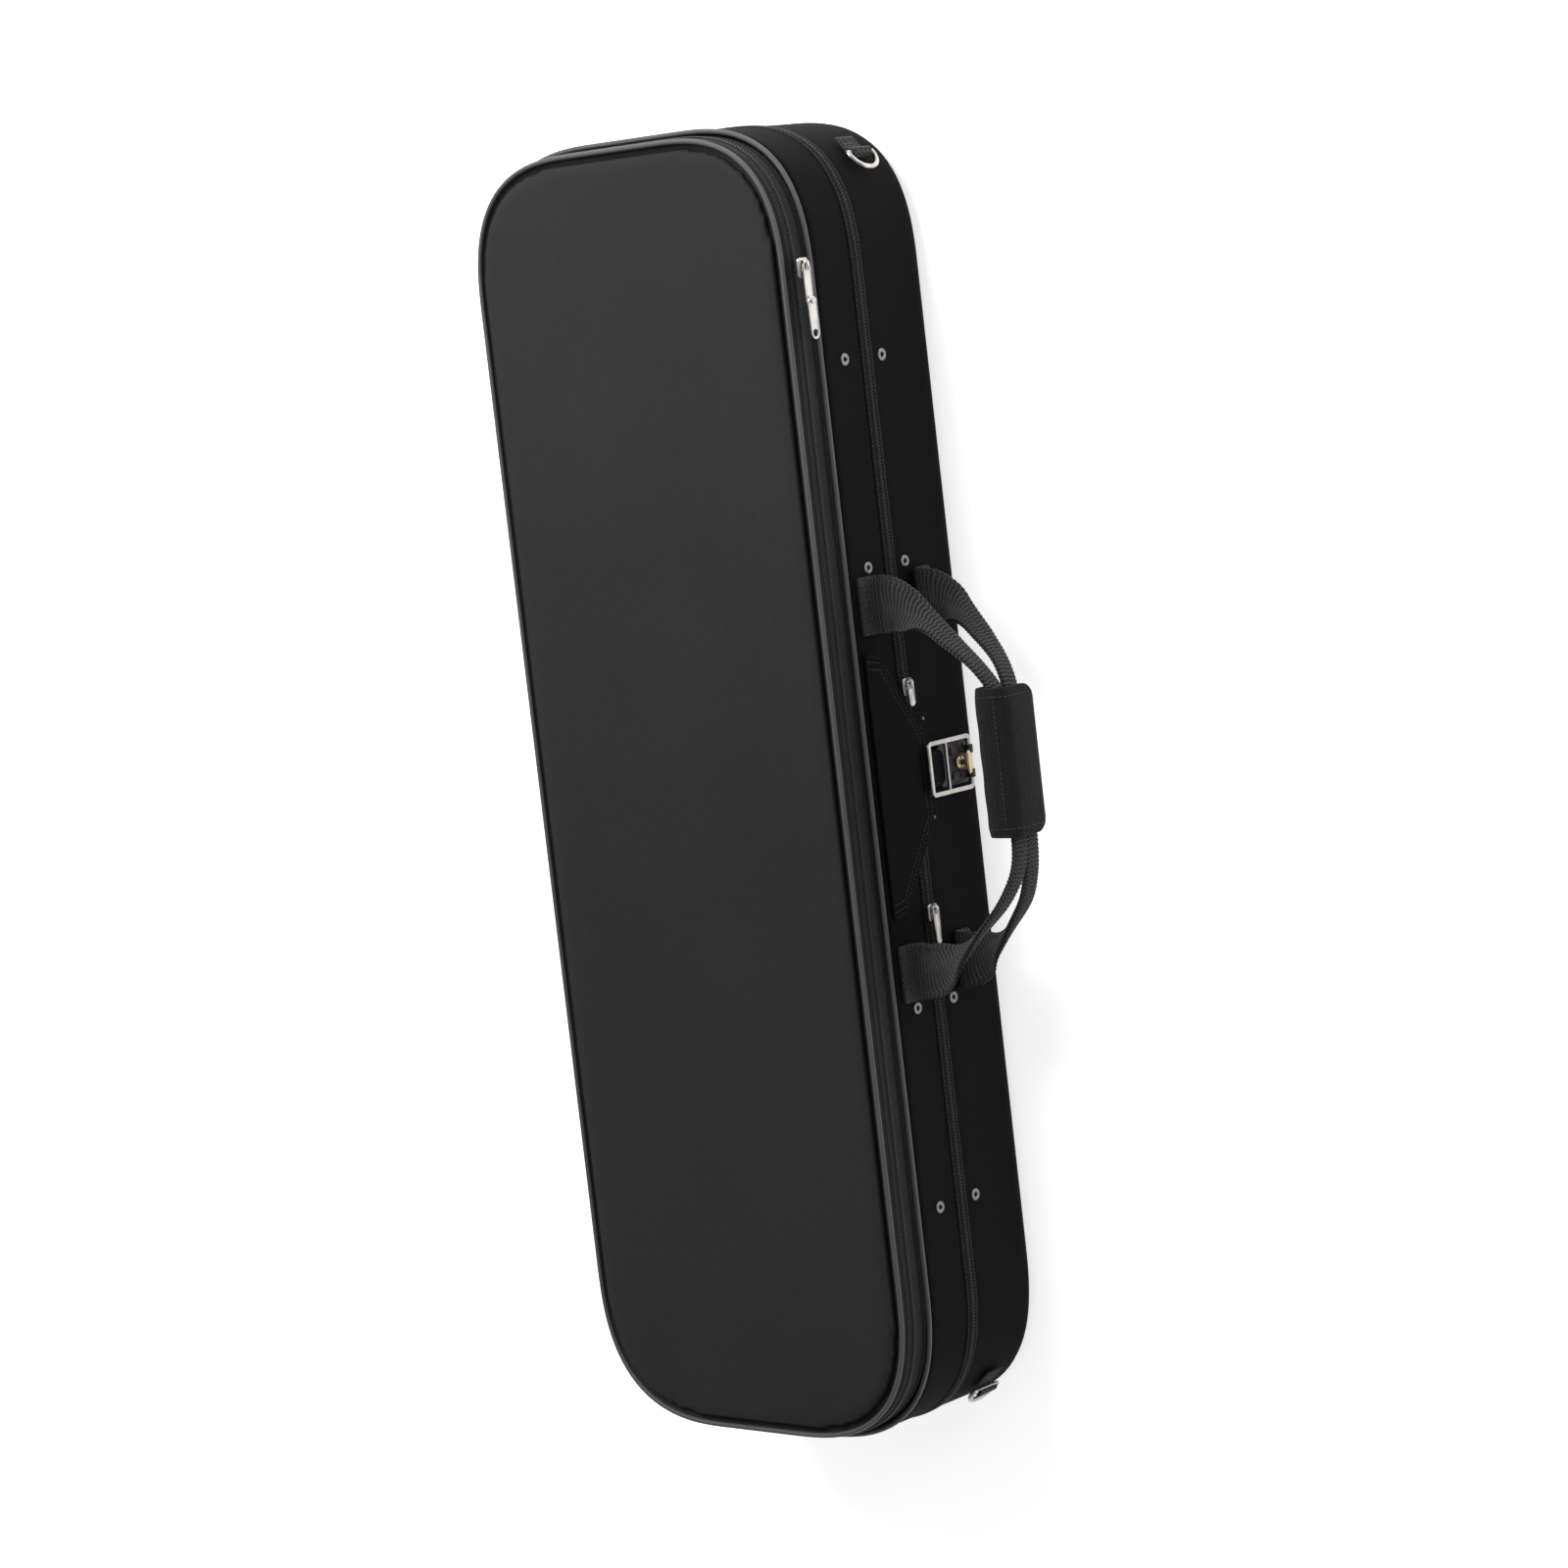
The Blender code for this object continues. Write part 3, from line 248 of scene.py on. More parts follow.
# %% Piping, webbing and plush
def piping_finish(name):
    """Satin-covered cord: fine slanting threads along its own UV map."""
    cord = Finish(name, Sheen_Weight=0.05, Specular_IOR_Level=0.5)
    spot = cord.place(uv=True)
    u, v, _ = cord.parts(spot)
    slant = ((u * 1.0 + v * 0.8) * (2 * math.pi / 0.0008)).sin()
    grain = cord.noise(spot, 1500.0, 2.0)
    patches = cord.noise(spot, 14.0, 2.0)
    tone = 0.45 * patches + 0.3 * grain + 0.15 * (0.5 + 0.5 * slant)
    cord.feed(Base_Color=cord.mix(tone, (0.028, 0.028, 0.029), (0.085, 0.085, 0.087)),
              Roughness=0.42 + 0.2 * grain, Normal=cord.bump(0.5 * slant + 0.8 * grain, 0.00010, 0.8))
    return cord.material


def webbing_finish(name, dark, light, rib=0.0021):
    """Ribbed webbing: ribs across the strap, each split by the warp threads along it."""
    web = Finish(name, Sheen_Weight=0.05, Sheen_Roughness=0.4, Specular_IOR_Level=0.12)
    spot = web.place(uv=True)
    u, v, _ = web.parts(spot)
    ribs = (u * (2 * math.pi / rib) + 1.3 * (v * (2 * math.pi / 0.0042)).sin()).sin()
    warp = (v * (2 * math.pi / 0.0014)).sin()
    grain = web.noise(spot, 1300.0, 2.0)
    fuzz = web.noise(spot, 300.0, 3.0)
    tone = 0.25 + 0.30 * ribs + 0.30 * grain + 0.25 * fuzz
    height = 0.8 * ribs + 0.25 * warp + 0.6 * grain
    web.feed(Base_Color=web.mix(tone, dark, light), Roughness=0.72 + 0.2 * grain,
             Normal=web.bump(height, 0.00032, 1.0))
    return web.material


def plush_finish(name, dark, light):
    """Short plush: brushed patches over a fine pile, both from noise."""
    pile = Finish(name, Sheen_Weight=0.8, Sheen_Roughness=0.35, Specular_IOR_Level=0.15)
    spot = pile.place()
    fine = pile.noise(spot, 1600.0, 2.0)
    brushed = pile.noise(spot, 22.0, 3.0)
    tone = 0.45 * fine + 0.55 * brushed
    pile.feed(Base_Color=pile.mix(tone, dark, light), Roughness=0.88 + 0.1 * fine,
              Normal=pile.bump(fine + 0.6 * brushed, 0.0005, 0.8))
    return pile.material


PIPING = piping_finish("piping")
WEBBING = webbing_finish("webbing", (0.0090, 0.0090, 0.0093), (0.066, 0.066, 0.067), rib=0.0026)
GRIP_CLOTH = webbing_finish("grip_cloth", (0.0050, 0.0050, 0.0052), (0.020, 0.020, 0.0205), rib=0.0012)
PLUSH = plush_finish("plush_lining", (0.050, 0.048, 0.052), (0.135, 0.130, 0.138))


# %% Thread, coil and metal
def plain_thread(name, dark, light, rough):
    """Spun thread or moulded coil: a little twist and dust."""
    made = Finish(name, Specular_IOR_Level=0.4)
    grain = made.noise(made.place(), 2400.0, 2.0)
    wide = made.noise(made.place(), 60.0, 2.0)
    made.feed(Base_Color=made.mix(0.5 * grain + 0.5 * wide, dark, light), Roughness=rough + 0.2 * grain,
              Normal=made.bump(grain, 0.00008, 0.7))
    return made.material


def plated(name, dark, light, rough, worn=(0.30, 0.29, 0.27)):
    """Plated metal: fine polishing lines, smudges, and dull spots where the plate is worn."""
    metal = Finish(name, Metallic=1.0)
    spot = metal.place()
    smudge = metal.noise(spot, 90.0, 4.0)
    lines = metal.noise(metal.node("ShaderNodeMapping", {},
                                   {"Vector": spot, "Scale": (300.0, 3000.0, 900.0)}), 1.0, 2.0)
    wear = metal.noise(spot, 420.0, 3.0)
    spots = metal.node("ShaderNodeMapRange", {},
                       {"Value": wear, "From Min": 0.60, "From Max": 0.74, "To Min": 0.0, "To Max": 0.55})
    shine = metal.mix(smudge, dark, light)
    metal.feed(Base_Color=metal.mix(spots, shine, worn), Roughness=rough + 0.16 * smudge + 0.25 * spots,
               Normal=metal.bump(0.7 * lines + 0.3 * smudge, 0.00004, 0.7))
    return metal.material


THREAD_BLACK = plain_thread("black_thread", (0.022, 0.022, 0.023), (0.050, 0.050, 0.052), 0.62)
COIL = plain_thread("zip_coil", (0.016, 0.016, 0.017), (0.040, 0.040, 0.041), 0.34)
NICKEL = plated("nickel", (0.30, 0.29, 0.27), (0.66, 0.64, 0.60), 0.22, (0.20, 0.19, 0.17))
AGED = plated("aged_nickel", (0.10, 0.10, 0.097), (0.30, 0.29, 0.28), 0.30, (0.07, 0.068, 0.064))
BRASS = plated("brass", (0.52, 0.41, 0.22), (0.80, 0.67, 0.42), 0.22, (0.30, 0.24, 0.14))
STEEL = plated("blackened_steel", (0.030, 0.030, 0.032), (0.075, 0.075, 0.078), 0.38, (0.16, 0.15, 0.14))
print("finishes:", len(bpy.data.materials))

# %% [markdown]
# ## Surfaces as arrays
# Nearly every piece here is a grid: one direction runs along a path, the other round a section. The
# helpers below number the faces of such a grid, give it a UV map in metres, and turn arrays into an
# object that rides on a body of the frame. Nothing is placed vertex by vertex.

# %% Grids into pieces
def box_of(node):
    """The lowest and highest corner of a CAD node, as arrays."""
    return [np.array(corner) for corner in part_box(node)]


def rows_of(*columns):
    """Rows of numbers from columns, where a single number fills its whole column."""
    return np.column_stack(np.broadcast_arrays(*columns))


def sample(where, at, table):
    """The rows of a table, whose places are at, read off at other places."""
    return np.column_stack([np.interp(where, at, column) for column in table.T])


def lengths(path, closed=False):
    """Distance along a path at each of its points, and back at its start if it is closed."""
    ring = np.vstack([path, path[:1]]) if closed else path
    return np.concatenate([[0.0], np.cumsum(np.linalg.norm(np.diff(ring, axis=0), axis=1))])


def grid(points, u, v, wrap_u=False, wrap_v=False):
    """Quads over a (rows, columns, 3) array; u and v are UV values, with one more where it wraps."""
    rows, columns = points.shape[:2]
    i, j = np.meshgrid(np.arange(rows - (not wrap_u)), np.arange(columns - (not wrap_v)), indexing="ij")
    i, j = i.ravel(), j.ravel()
    corners = ((i, j), (i + 1, j), (i + 1, j + 1), (i, j + 1))
    quads = np.stack([(a % rows) * columns + b % columns for a, b in corners], axis=1)
    uvs = np.stack([np.column_stack([np.asarray(u)[a], np.asarray(v)[b]]) for a, b in corners], axis=1)
    return points.reshape(-1, 3), quads, uvs


def piece(name, parts, finish, body, replaced=(), sharp=None):
    """One object from grids: doubles merged, faces turned outwards, shaded smooth, riding on a body."""
    starts = np.cumsum([0] + [len(part[0]) for part in parts])
    points = np.concatenate([part[0] for part in parts])
    quads = np.concatenate([part[1] + start for part, start in zip(parts, starts)])
    uvs = np.concatenate([part[2] for part in parts])
    mesh = bpy.data.meshes.new(name)
    mesh.from_pydata(points.tolist(), [], quads.tolist())
    mesh.uv_layers.new(name="UVMap").data.foreach_set("uv", uvs.astype(np.float32).ravel())
    closed = bmesh.new()
    closed.from_mesh(mesh)
    bmesh.ops.remove_doubles(closed, verts=closed.verts, dist=2e-6)
    bmesh.ops.recalc_face_normals(closed, faces=closed.faces)
    closed.to_mesh(mesh)
    closed.free()
    return dress(bpy.data.objects.new(name, mesh), finish, body, replaced, sharp)


def dress(obj, finish, body, replaced=(), sharp=None):
    """Give a mesh object its finish, body and replaced nodes."""
    obj.data.materials.clear()
    obj.data.materials.append(finish)
    obj.data.shade_smooth()
    if sharp:
        obj.data.set_sharp_from_angle(angle=math.radians(sharp))
    if obj.name not in bpy.context.scene.collection.objects:
        bpy.context.scene.collection.objects.link(obj)
    if body:
        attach(obj, body)
    if replaced:
        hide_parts(*replaced)
    return obj


def unit(vectors):
    """Each vector over its own length."""
    return vectors / np.maximum(np.linalg.norm(vectors, axis=-1, keepdims=True), 1e-12)


def carried(path, out, up, section, wrap_u=False, ends=True, start=0.0):
    """A closed section carried along a path: point = path + s * out + t * up.

    section is (m, 2), or (n, m, 2) where it changes along the path. out and up are one direction, or one
    for each point. Open ends close on their middle.
    """
    section = np.broadcast_to(section, (len(path),) + np.shape(section)[-2:])
    out, up = np.broadcast_to(out, path.shape), np.broadcast_to(up, path.shape)
    points = path[:, None] + section[..., :1] * out[:, None] + section[..., 1:] * up[:, None]
    along = start + lengths(path, wrap_u)
    if ends and not wrap_u:
        first, last = points[:1].mean(axis=1, keepdims=True), points[-1:].mean(axis=1, keepdims=True)
        wide = points.shape[1]
        points = np.concatenate([np.repeat(first, wide, 1), points, np.repeat(last, wide, 1)])
        along = np.concatenate([along[:1], along, along[-1:]])
    return grid(points, along, lengths(section[len(section) // 2], True), wrap_u, True)


def circle(radius, sides, squash=1.0):
    """Points (radius cos a, radius sin a * squash) round a circle."""
    angle = np.arange(sides) * 2 * np.pi / sides
    return np.column_stack([radius * np.cos(angle), radius * squash * np.sin(angle)])


def rounded_box(wide, high, corner, steps=4):
    """A rectangle's outline with quarter-circle corners, anticlockwise, about its middle."""
    angle = np.radians(np.linspace(0, 90, steps + 1))
    turns = np.arange(4)[:, None] * np.pi / 2 + angle
    centre = np.array([[1, 1], [-1, 1], [-1, -1], [1, -1]]) * (wide / 2 - corner, high / 2 - corner)
    return (centre[:, None] + corner * np.stack([np.cos(turns), np.sin(turns)], -1)).reshape(-1, 2)


# %% [markdown]
# ## The outline of the case
# Base, lid, pocket and piping all follow one outline, so they fit each other. A corner is squarer than
# a circle: in the direction a it reaches r (|cos a|^p + |sin a|^p)^(-1/p) with p a little under 3. Moving in
# by an inset shortens r. Each outline point keeps its own inward reach, so a whole wall is one sum.

# %% Outline arrays
HALF_X, HALF_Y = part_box("base_cover")[1][:2]
HEAD_RADIUS, FOOT_RADIUS, SQUARENESS = 0.0945, 0.102, 2.73


def outline_arrays(corner_steps=30, long_steps=110, short_steps=14):
    """Outline points, inward reach and outward normal, anticlockwise from the handle side's head corner."""
    p = SQUARENESS
    spots, reach, normal = [], [], []
    corners = ((1, -1, HEAD_RADIUS, -90), (1, 1, HEAD_RADIUS, 0), (-1, 1, FOOT_RADIUS, 90),
               (-1, -1, FOOT_RADIUS, 180))
    for number, (sx, sy, radius, start) in enumerate(corners):
        angle = np.radians(start + np.linspace(0, 90, corner_steps + 1))
        way = np.column_stack([np.cos(angle), np.sin(angle)])
        way = np.where(np.abs(way) < 1e-9, 0.0, way)
        way = way * (np.abs(way) ** p).sum(1, keepdims=True) ** (-1 / p)
        centre = np.array([sx * (HALF_X - radius), sy * (HALF_Y - radius)])
        spots.append(centre + radius * way)
        reach.append(way)
        normal.append(unit(np.sign(way) * np.abs(way) ** (p - 1)))
        nx, ny, next_radius, _ = corners[(number + 1) % 4]
        steps = short_steps if number % 2 == 0 else long_steps
        next_centre = np.array([nx * (HALF_X - next_radius), ny * (HALF_Y - next_radius)])
        facing = way[-1]
        share = np.linspace(0, 1, steps + 1)[1:-1, None]
        spots.append((centre + radius * facing) * (1 - share) + (next_centre + next_radius * facing)
                     * share)
        reach.append(np.repeat(facing[None], steps - 1, 0))
        normal.append(np.repeat(facing[None], steps - 1, 0))
    return [np.concatenate(rows) for rows in (spots, reach, normal)]


EDGE, REACH, NORMAL = outline_arrays()
AROUND = lengths(EDGE, True)
print("outline points:", len(EDGE), "girth: %.3f m" % AROUND[-1])


def wall(section, ripple=0.0, wrap_v=True):
    """A belt round the case from (inset, out, z) rows: point = edge - inset * reach + out * normal."""
    inset, out, z = np.asarray(section, float).T
    plan = EDGE[:, None] - inset[:, None] * REACH[:, None] + out[:, None] * NORMAL[:, None]
    if ripple:
        s, h = AROUND[:-1, None] * 2 * np.pi / AROUND[-1], (z - z.min()) / np.ptp(z)
        wave = np.sin(9 * s + 1) + 0.7 * np.sin(23 * s + 5 * h) + 0.5 * np.sin(41 * s - 4 * h + 2)
        swell = ripple * wave * np.sin(np.pi * h) ** 2
        plan = plan + swell[..., None] * NORMAL[:, None]
    points = np.concatenate([plan, np.broadcast_to(z[None, :, None], plan.shape[:2] + (1,))], -1)
    around_section = lengths(np.column_stack([out - inset, z]), wrap_v)
    return grid(points, AROUND, around_section, True, wrap_v)


def slab(inset, low, high, edge=0.0015, crown=0.0, rings=9):
    """A padded plate that fills the outline: rounded edge, slight crown, closed at its middle."""
    turn = np.linspace(-np.pi / 2, np.pi / 2, 7)
    half = (high - low) / 2
    rim_in = inset + edge * (1 - np.cos(turn))
    rim_z = low + half + half * np.sin(turn)
    rim = np.concatenate([EDGE[:, None] - rim_in[:, None] * REACH[:, None],
                          np.broadcast_to(rim_z[None, :, None], (len(EDGE), 7, 1))], -1)
    share = np.linspace(1, 0, rings)[1:, None]
    rise = crown * (1 - share ** 2.5)
    top = np.concatenate([rim[:, -1:, :2] * share, np.broadcast_to(high + rise, (len(EDGE), rings - 1, 1))],
                         -1)
    under = np.concatenate([rim[:, :1, :2] * share[::-1], np.full((len(EDGE), rings - 1, 1), low)], -1)
    points = np.concatenate([under, rim, top], 1)
    flat, quads, _ = grid(points, AROUND, lengths(points[0]), True)
    return flat, quads, flat[quads][..., :2]


def tube(inset, out, z, radius, sides=12, squash=1.0):
    """A cord that follows the outline at (inset, out, z)."""
    ring = circle(radius, sides, squash)
    return wall(rows_of(inset, out + ring[:, 0], z + ring[:, 1]))


# %% [markdown]
# ## Stitches and teeth
# A seam is a row of short thread loops and a zip is a row of teeth. Each is one tiny closed body with a
# few faces, copied by array sums to stations that are evenly spaced along the outline or a path.

# %% Rows of small bodies
def bead(long, wide, high, sides=5, nose=0.5):
    """A short body along its first axis: two middle rings, and two points or blunt ends."""
    x = np.array([-0.5, -0.5 * (1 - nose * 0.6), 0.5 * (1 - nose * 0.6), 0.5]) * long
    scale = np.array([0.0, 1.0, 1.0, 0.0])
    ring = circle(0.5, sides)
    points = np.stack([rows_of(at, ring[:, 0] * wide * s, ring[:, 1] * high * s) for at,
                       s in zip(x, scale)])
    return grid(points, x, np.arange(sides + 1) * wide / sides, False, True)


def row_of(body, places, along, out, up):
    """Copies of a body: point = place + a * along + b * out + c * up for its own (a, b, c)."""
    points, quads, uvs = body
    many = (places[:, None] + points[None, :, :1] * along[:, None] + points[None, :, 1:2] * out[:,
                                                                                                None]
            + points[None, :, 2:] * up[:, None])
    shift = np.arange(len(places))[:, None, None] * len(points)
    return many.reshape(-1, 3), (quads[None] + shift).reshape(-1, 4), np.tile(uvs, (len(places), 1, 1))


def stations(pitch, inset, out, z, phase=0.0, before=1.0):
    """Evenly spaced places round the outline where y < before, with their along, out and up directions."""
    ring = EDGE - inset * REACH + out * NORMAL
    at = lengths(ring, True)
    count = int(at[-1] / pitch)
    where = (np.arange(count) + phase) * at[-1] / count
    place = sample(where, at, np.vstack([ring, ring[:1]]))
    normal = unit(sample(where, at, np.vstack([NORMAL, NORMAL[:1]])))
    kept = place[:, 1] < before
    place, normal, level = place[kept], normal[kept], np.zeros((kept.sum(), 1))
    out3 = np.hstack([normal, level])
    return np.hstack([place, level + z]), np.column_stack([-normal[:, 1], normal[:, 0], level]), out3, \
        np.tile([0.0, 0.0, 1.0], (len(place), 1))


def seam(inset, out, z, pitch=0.0032, thick=0.00042):
    """A row of stitches round the case."""
    return row_of(bead(pitch * 0.78, thick, thick * 1.3), *stations(pitch, inset, out, z))


def path_seam(points, out, pitch=0.0030, thick=0.0005):
    """Stitches along an open path that lies on a surface facing out."""
    path = np.asarray(points, float)
    at = lengths(path)
    count = max(2, int(at[-1] / pitch))
    where = (np.arange(count) + 0.5) * at[-1] / count
    place = sample(where, at, path)
    along = unit(sample(where + 1e-4, at, path) - sample(where - 1e-4, at, path))
    away = np.broadcast_to(unit(np.asarray(out, float)), along.shape)
    return row_of(bead(pitch * 0.75, thick * 1.2, thick), place, along, np.cross(away, along), away)


# %% [markdown]
# ## Base and lid
# The board shells are covered with cloth that is glued down and turned in at the join. The cloth's walls
# are belts with a rolled hem at the top and very shallow ripples, which real glued cloth always has.
# The linings are plush slabs with a rounded edge.

# %% Board, cloth and lining of the base
def span(node):
    """(inset of its longest reach, lowest z, highest z) of a CAD node that follows the outline."""
    low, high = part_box(node)
    return HALF_X - high[0], low[2], high[2]


def hem(inset, low, high, thick, foot=0.0, count=12):
    """A cloth wall's closed section: rounded foot, upright outer face, rolled hem, and inner face."""
    turn = np.radians(np.linspace(0, 90, 7)) if foot else np.zeros(0)
    outer = np.column_stack([inset + foot * (1 - np.sin(turn)), low + foot * (1 - np.cos(turn))])
    rise = np.linspace(low + foot, high - thick / 2, count)[1 if foot else 0:]
    outer = np.vstack([outer, rows_of(inset, rise)])
    roll = np.radians(np.linspace(30, 150, 4))
    cap = np.column_stack([inset + thick / 2 * (1 - np.cos(roll)),
                           high - thick / 2 + thick / 2 * np.sin(roll)])
    back = outer[::-1] + (thick, 0)
    inner_foot = max(foot - thick, 0.0)
    if foot:
        back[-len(turn):] = np.column_stack([inset + thick + inner_foot * (1 - np.sin(turn)),
                                             low + thick + inner_foot * (1 - np.cos(turn))])[::-1]
    rows = np.vstack([outer, cap, back])
    return rows_of(rows[:, 0], 0.0, rows[:, 1])


BOTTOM_ROUND = 0.012
_, base_low, base_high = span("base_cover")
piece("base_side_cloth", [wall(hem(0.0, base_low, base_high, 0.001, BOTTOM_ROUND), 0.00012)], SIDE_CLOTH,
      "base", ["base_cover"])
under_inset, under_low, under_high = span("base_bottom_panel")
piece("base_underside", [slab(under_inset, under_low, under_high, 0.0004),
                         seam(under_inset + 0.004, 0, 0.0003)], FLAP_CLOTH, "base", ["base_bottom_panel"])
shell_inset, shell_low, shell_high = span("base_shell")
board_section = hem(shell_inset, shell_low, shell_high, 0.004, BOTTOM_ROUND - shell_inset)
piece("base_board", [wall(board_section), slab(shell_inset + 0.0102, shell_low, shell_low + 0.004, 0.0002)],
      PLUSH, "base", ["base_shell"])
pad_inset, pad_low, pad_high = span("floor_pad")
floor_cloth = piece("floor_lining", [slab(pad_inset, pad_low, pad_high, 0.0018)], PLUSH, "base",
                    ["floor_pad"])

# %% Cloth, board and lining of the lid
_, lid_low, lid_high = span("lid_cover")


def turned_over(section, low, high):
    """The same section upside down between low and high."""
    flipped = np.array(section)
    flipped[:, 2] = low + high - flipped[:, 2]
    return flipped


TOP_ROUND = 0.004
lid_section = turned_over(hem(0.0, lid_low, lid_high, 0.001, TOP_ROUND), lid_low, lid_high)
piece("lid_side_cloth", [wall(lid_section, 0.00010), slab(TOP_ROUND, lid_high - 0.001, lid_high, 0.0003)],
      SIDE_CLOTH, "lid", ["lid_cover"])
lid_shell_inset, lid_shell_low, lid_shell_high = span("lid_shell")
lid_board_section = turned_over(hem(lid_shell_inset, lid_shell_low, lid_shell_high, 0.004,
                                    TOP_ROUND - lid_shell_inset), lid_shell_low, lid_shell_high)
piece("lid_board", [wall(lid_board_section),
                    slab(lid_shell_inset + 0.0036, lid_shell_high - 0.004, lid_shell_high, 0.0002)], PLUSH,
      "lid", ["lid_shell"])
lining_inset, lining_low, lining_high = span("lid_lining")
lid_lining = piece("lid_lining_pad", [slab(lining_inset, lining_low, lining_high, 0.0018)], PLUSH, "lid",
                   ["lid_lining"])

# %% [markdown]
# ## The closure zip
# Two tapes meet between base and lid, each sewn down with one row of stitches, and a coil of teeth runs
# along each edge. The tapes stand slightly proud of the cloth, so the join reads as a band round the case.

# %% Tapes, stitches and coil of the closure zip
PROUD, TOOTH_PITCH = 0.0004, 0.0021


def tape_section(low, high, proud, thick=0.0012, hump=0.00018):
    """A flat woven tape seen end on: slightly humped outer face, rounded edges."""
    z = np.linspace(low, high, 7)
    share = (z - low) / (high - low)
    outer = proud - 0.0002 * (np.abs(2 * share - 1) ** 6) + hump * np.sin(np.pi * share)
    inner = np.full(7, proud - thick)
    rows_out = np.concatenate([outer, inner[::-1]])
    return rows_of(0.0, rows_out, np.concatenate([z, z[::-1]]))


for name, body, way in (("base", "base", -1), ("lid", "lid", 1)):
    _, tape_low, tape_high = span(name + "_zip_tape")
    edge_z = tape_high if way < 0 else tape_low
    far_z = tape_low if way < 0 else tape_high
    piece(name + "_zip_tape_cloth", [wall(tape_section(tape_low, tape_high, PROUD))], ZIP_TAPE, body,
          [name + "_zip_tape"])
    piece(name + "_zip_stitches", [seam(0, PROUD + 0.00012, far_z - way * 0.0013)], THREAD_BLACK, body)
    tooth = bead(0.0011, 0.0010, 0.0017, 6, 0.7)
    piece(name + "_zip_coil",
          [row_of(tooth, *stations(TOOTH_PITCH, 0, PROUD + 0.00018, edge_z + way * 0.0003, 0.25 + way * 0.25))],
          COIL, body)

# %% [markdown]
# ## Piping and the pocket's gusset
# Two satin cords frame the pocket: one along the lid's edge and one round the panel. Between them runs the
# gusset, two zip tapes that the pocket opens along, each with its own stitching.

# %% Piping, gusset tapes, stitches and coil of the pocket
pipe_low, pipe_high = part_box("lid_piping")
PIPE = (pipe_high[2] - pipe_low[2]) / 2
pipe_z = (pipe_high[2] + pipe_low[2]) / 2
pipe_inset = HALF_X - (pipe_high[0] - PIPE)
piece("lid_edge_cord", [tube(pipe_inset, 0, pipe_z, PIPE)], PIPING, "lid", ["lid_piping"])
panel_low, panel_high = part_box("panel_piping")
panel_pipe_inset = HALF_X - (panel_high[0] - PIPE)
panel_pipe_z = (panel_low[2] + panel_high[2]) / 2
piece("panel_edge_cord", [tube(panel_pipe_inset, 0, panel_pipe_z, PIPE)], PIPING, "pocket_flap",
      ["panel_piping"])

lower_inset, lower_low, lower_high = span("pocket_gusset_lower")
upper_inset, upper_low, upper_high = span("pocket_gusset_upper")
GUSSET, POCKET_PITCH = 0.0011, 0.0022
ZIP_END = HALF_Y - 0.012   # the pocket's coil ends before its cloth hinge


def gusset(low, high, inset_low, inset_high, thick=GUSSET, zip_at="high"):
    """A strip of cloth whose zip edge carries a second, slightly raised layer of tape."""
    z = np.linspace(low, high, 13)
    share = (z - low) / (high - low)
    inset = inset_low + (inset_high - inset_low) * share
    near_zip = share if zip_at == "high" else 1 - share
    layer = 0.00035 / (1 + np.exp(-(near_zip - 0.38) * 60)) - 0.0004 * np.abs(2 * share - 1) ** 8
    return np.column_stack([np.concatenate([inset, inset[::-1] + thick]),
                            np.concatenate([layer, np.zeros(13)]), np.concatenate([z, z[::-1]])])


piece("gusset_lower_tape", [wall(gusset(lower_low, lower_high, lower_inset, lower_inset))], GUSSET_TAPE,
      "lid", ["pocket_gusset_lower"])
piece("gusset_upper_tape",
      [wall(gusset(upper_low, upper_high, upper_inset, upper_inset + 0.0017, zip_at="low"))], GUSSET_TAPE,
      "pocket_flap", ["pocket_gusset_upper"])
piece("gusset_lower_stitches",
      [seam(lower_inset, 0.0005, lower_high - 0.0050), seam(lower_inset, 0.0003, lower_low + 0.0030)],
      THREAD_BLACK, "lid")
piece("gusset_upper_stitches", [seam(upper_inset + 0.0009, 0.0004, upper_low + 0.0040)], THREAD_BLACK,
      "pocket_flap")
pocket_tooth = bead(0.0012, 0.0012, 0.0019, 6, 0.7)
piece("pocket_coil_lower",
      [row_of(pocket_tooth, *stations(POCKET_PITCH, lower_inset, 0.0004, lower_high - 0.0003, 0.0,
                                      ZIP_END))], COIL, "lid")
piece("pocket_coil_upper",
      [row_of(pocket_tooth, *stations(POCKET_PITCH, upper_inset, 0.0004, upper_low + 0.0003, 0.5,
                                      ZIP_END))], COIL, "pocket_flap")

# %% [markdown]
# ## The pocket panel
# The panel is cloth over thin padding, drawn flat by its piping, so it is nearly plane with a soft
# fall towards the cord. Its padding is worked out with the cloth solver: a slab slightly smaller than
# the finished pad is remeshed to even squares, swells a little under inside pressure, and each point's
# move is capped so that the pad keeps the case's size.

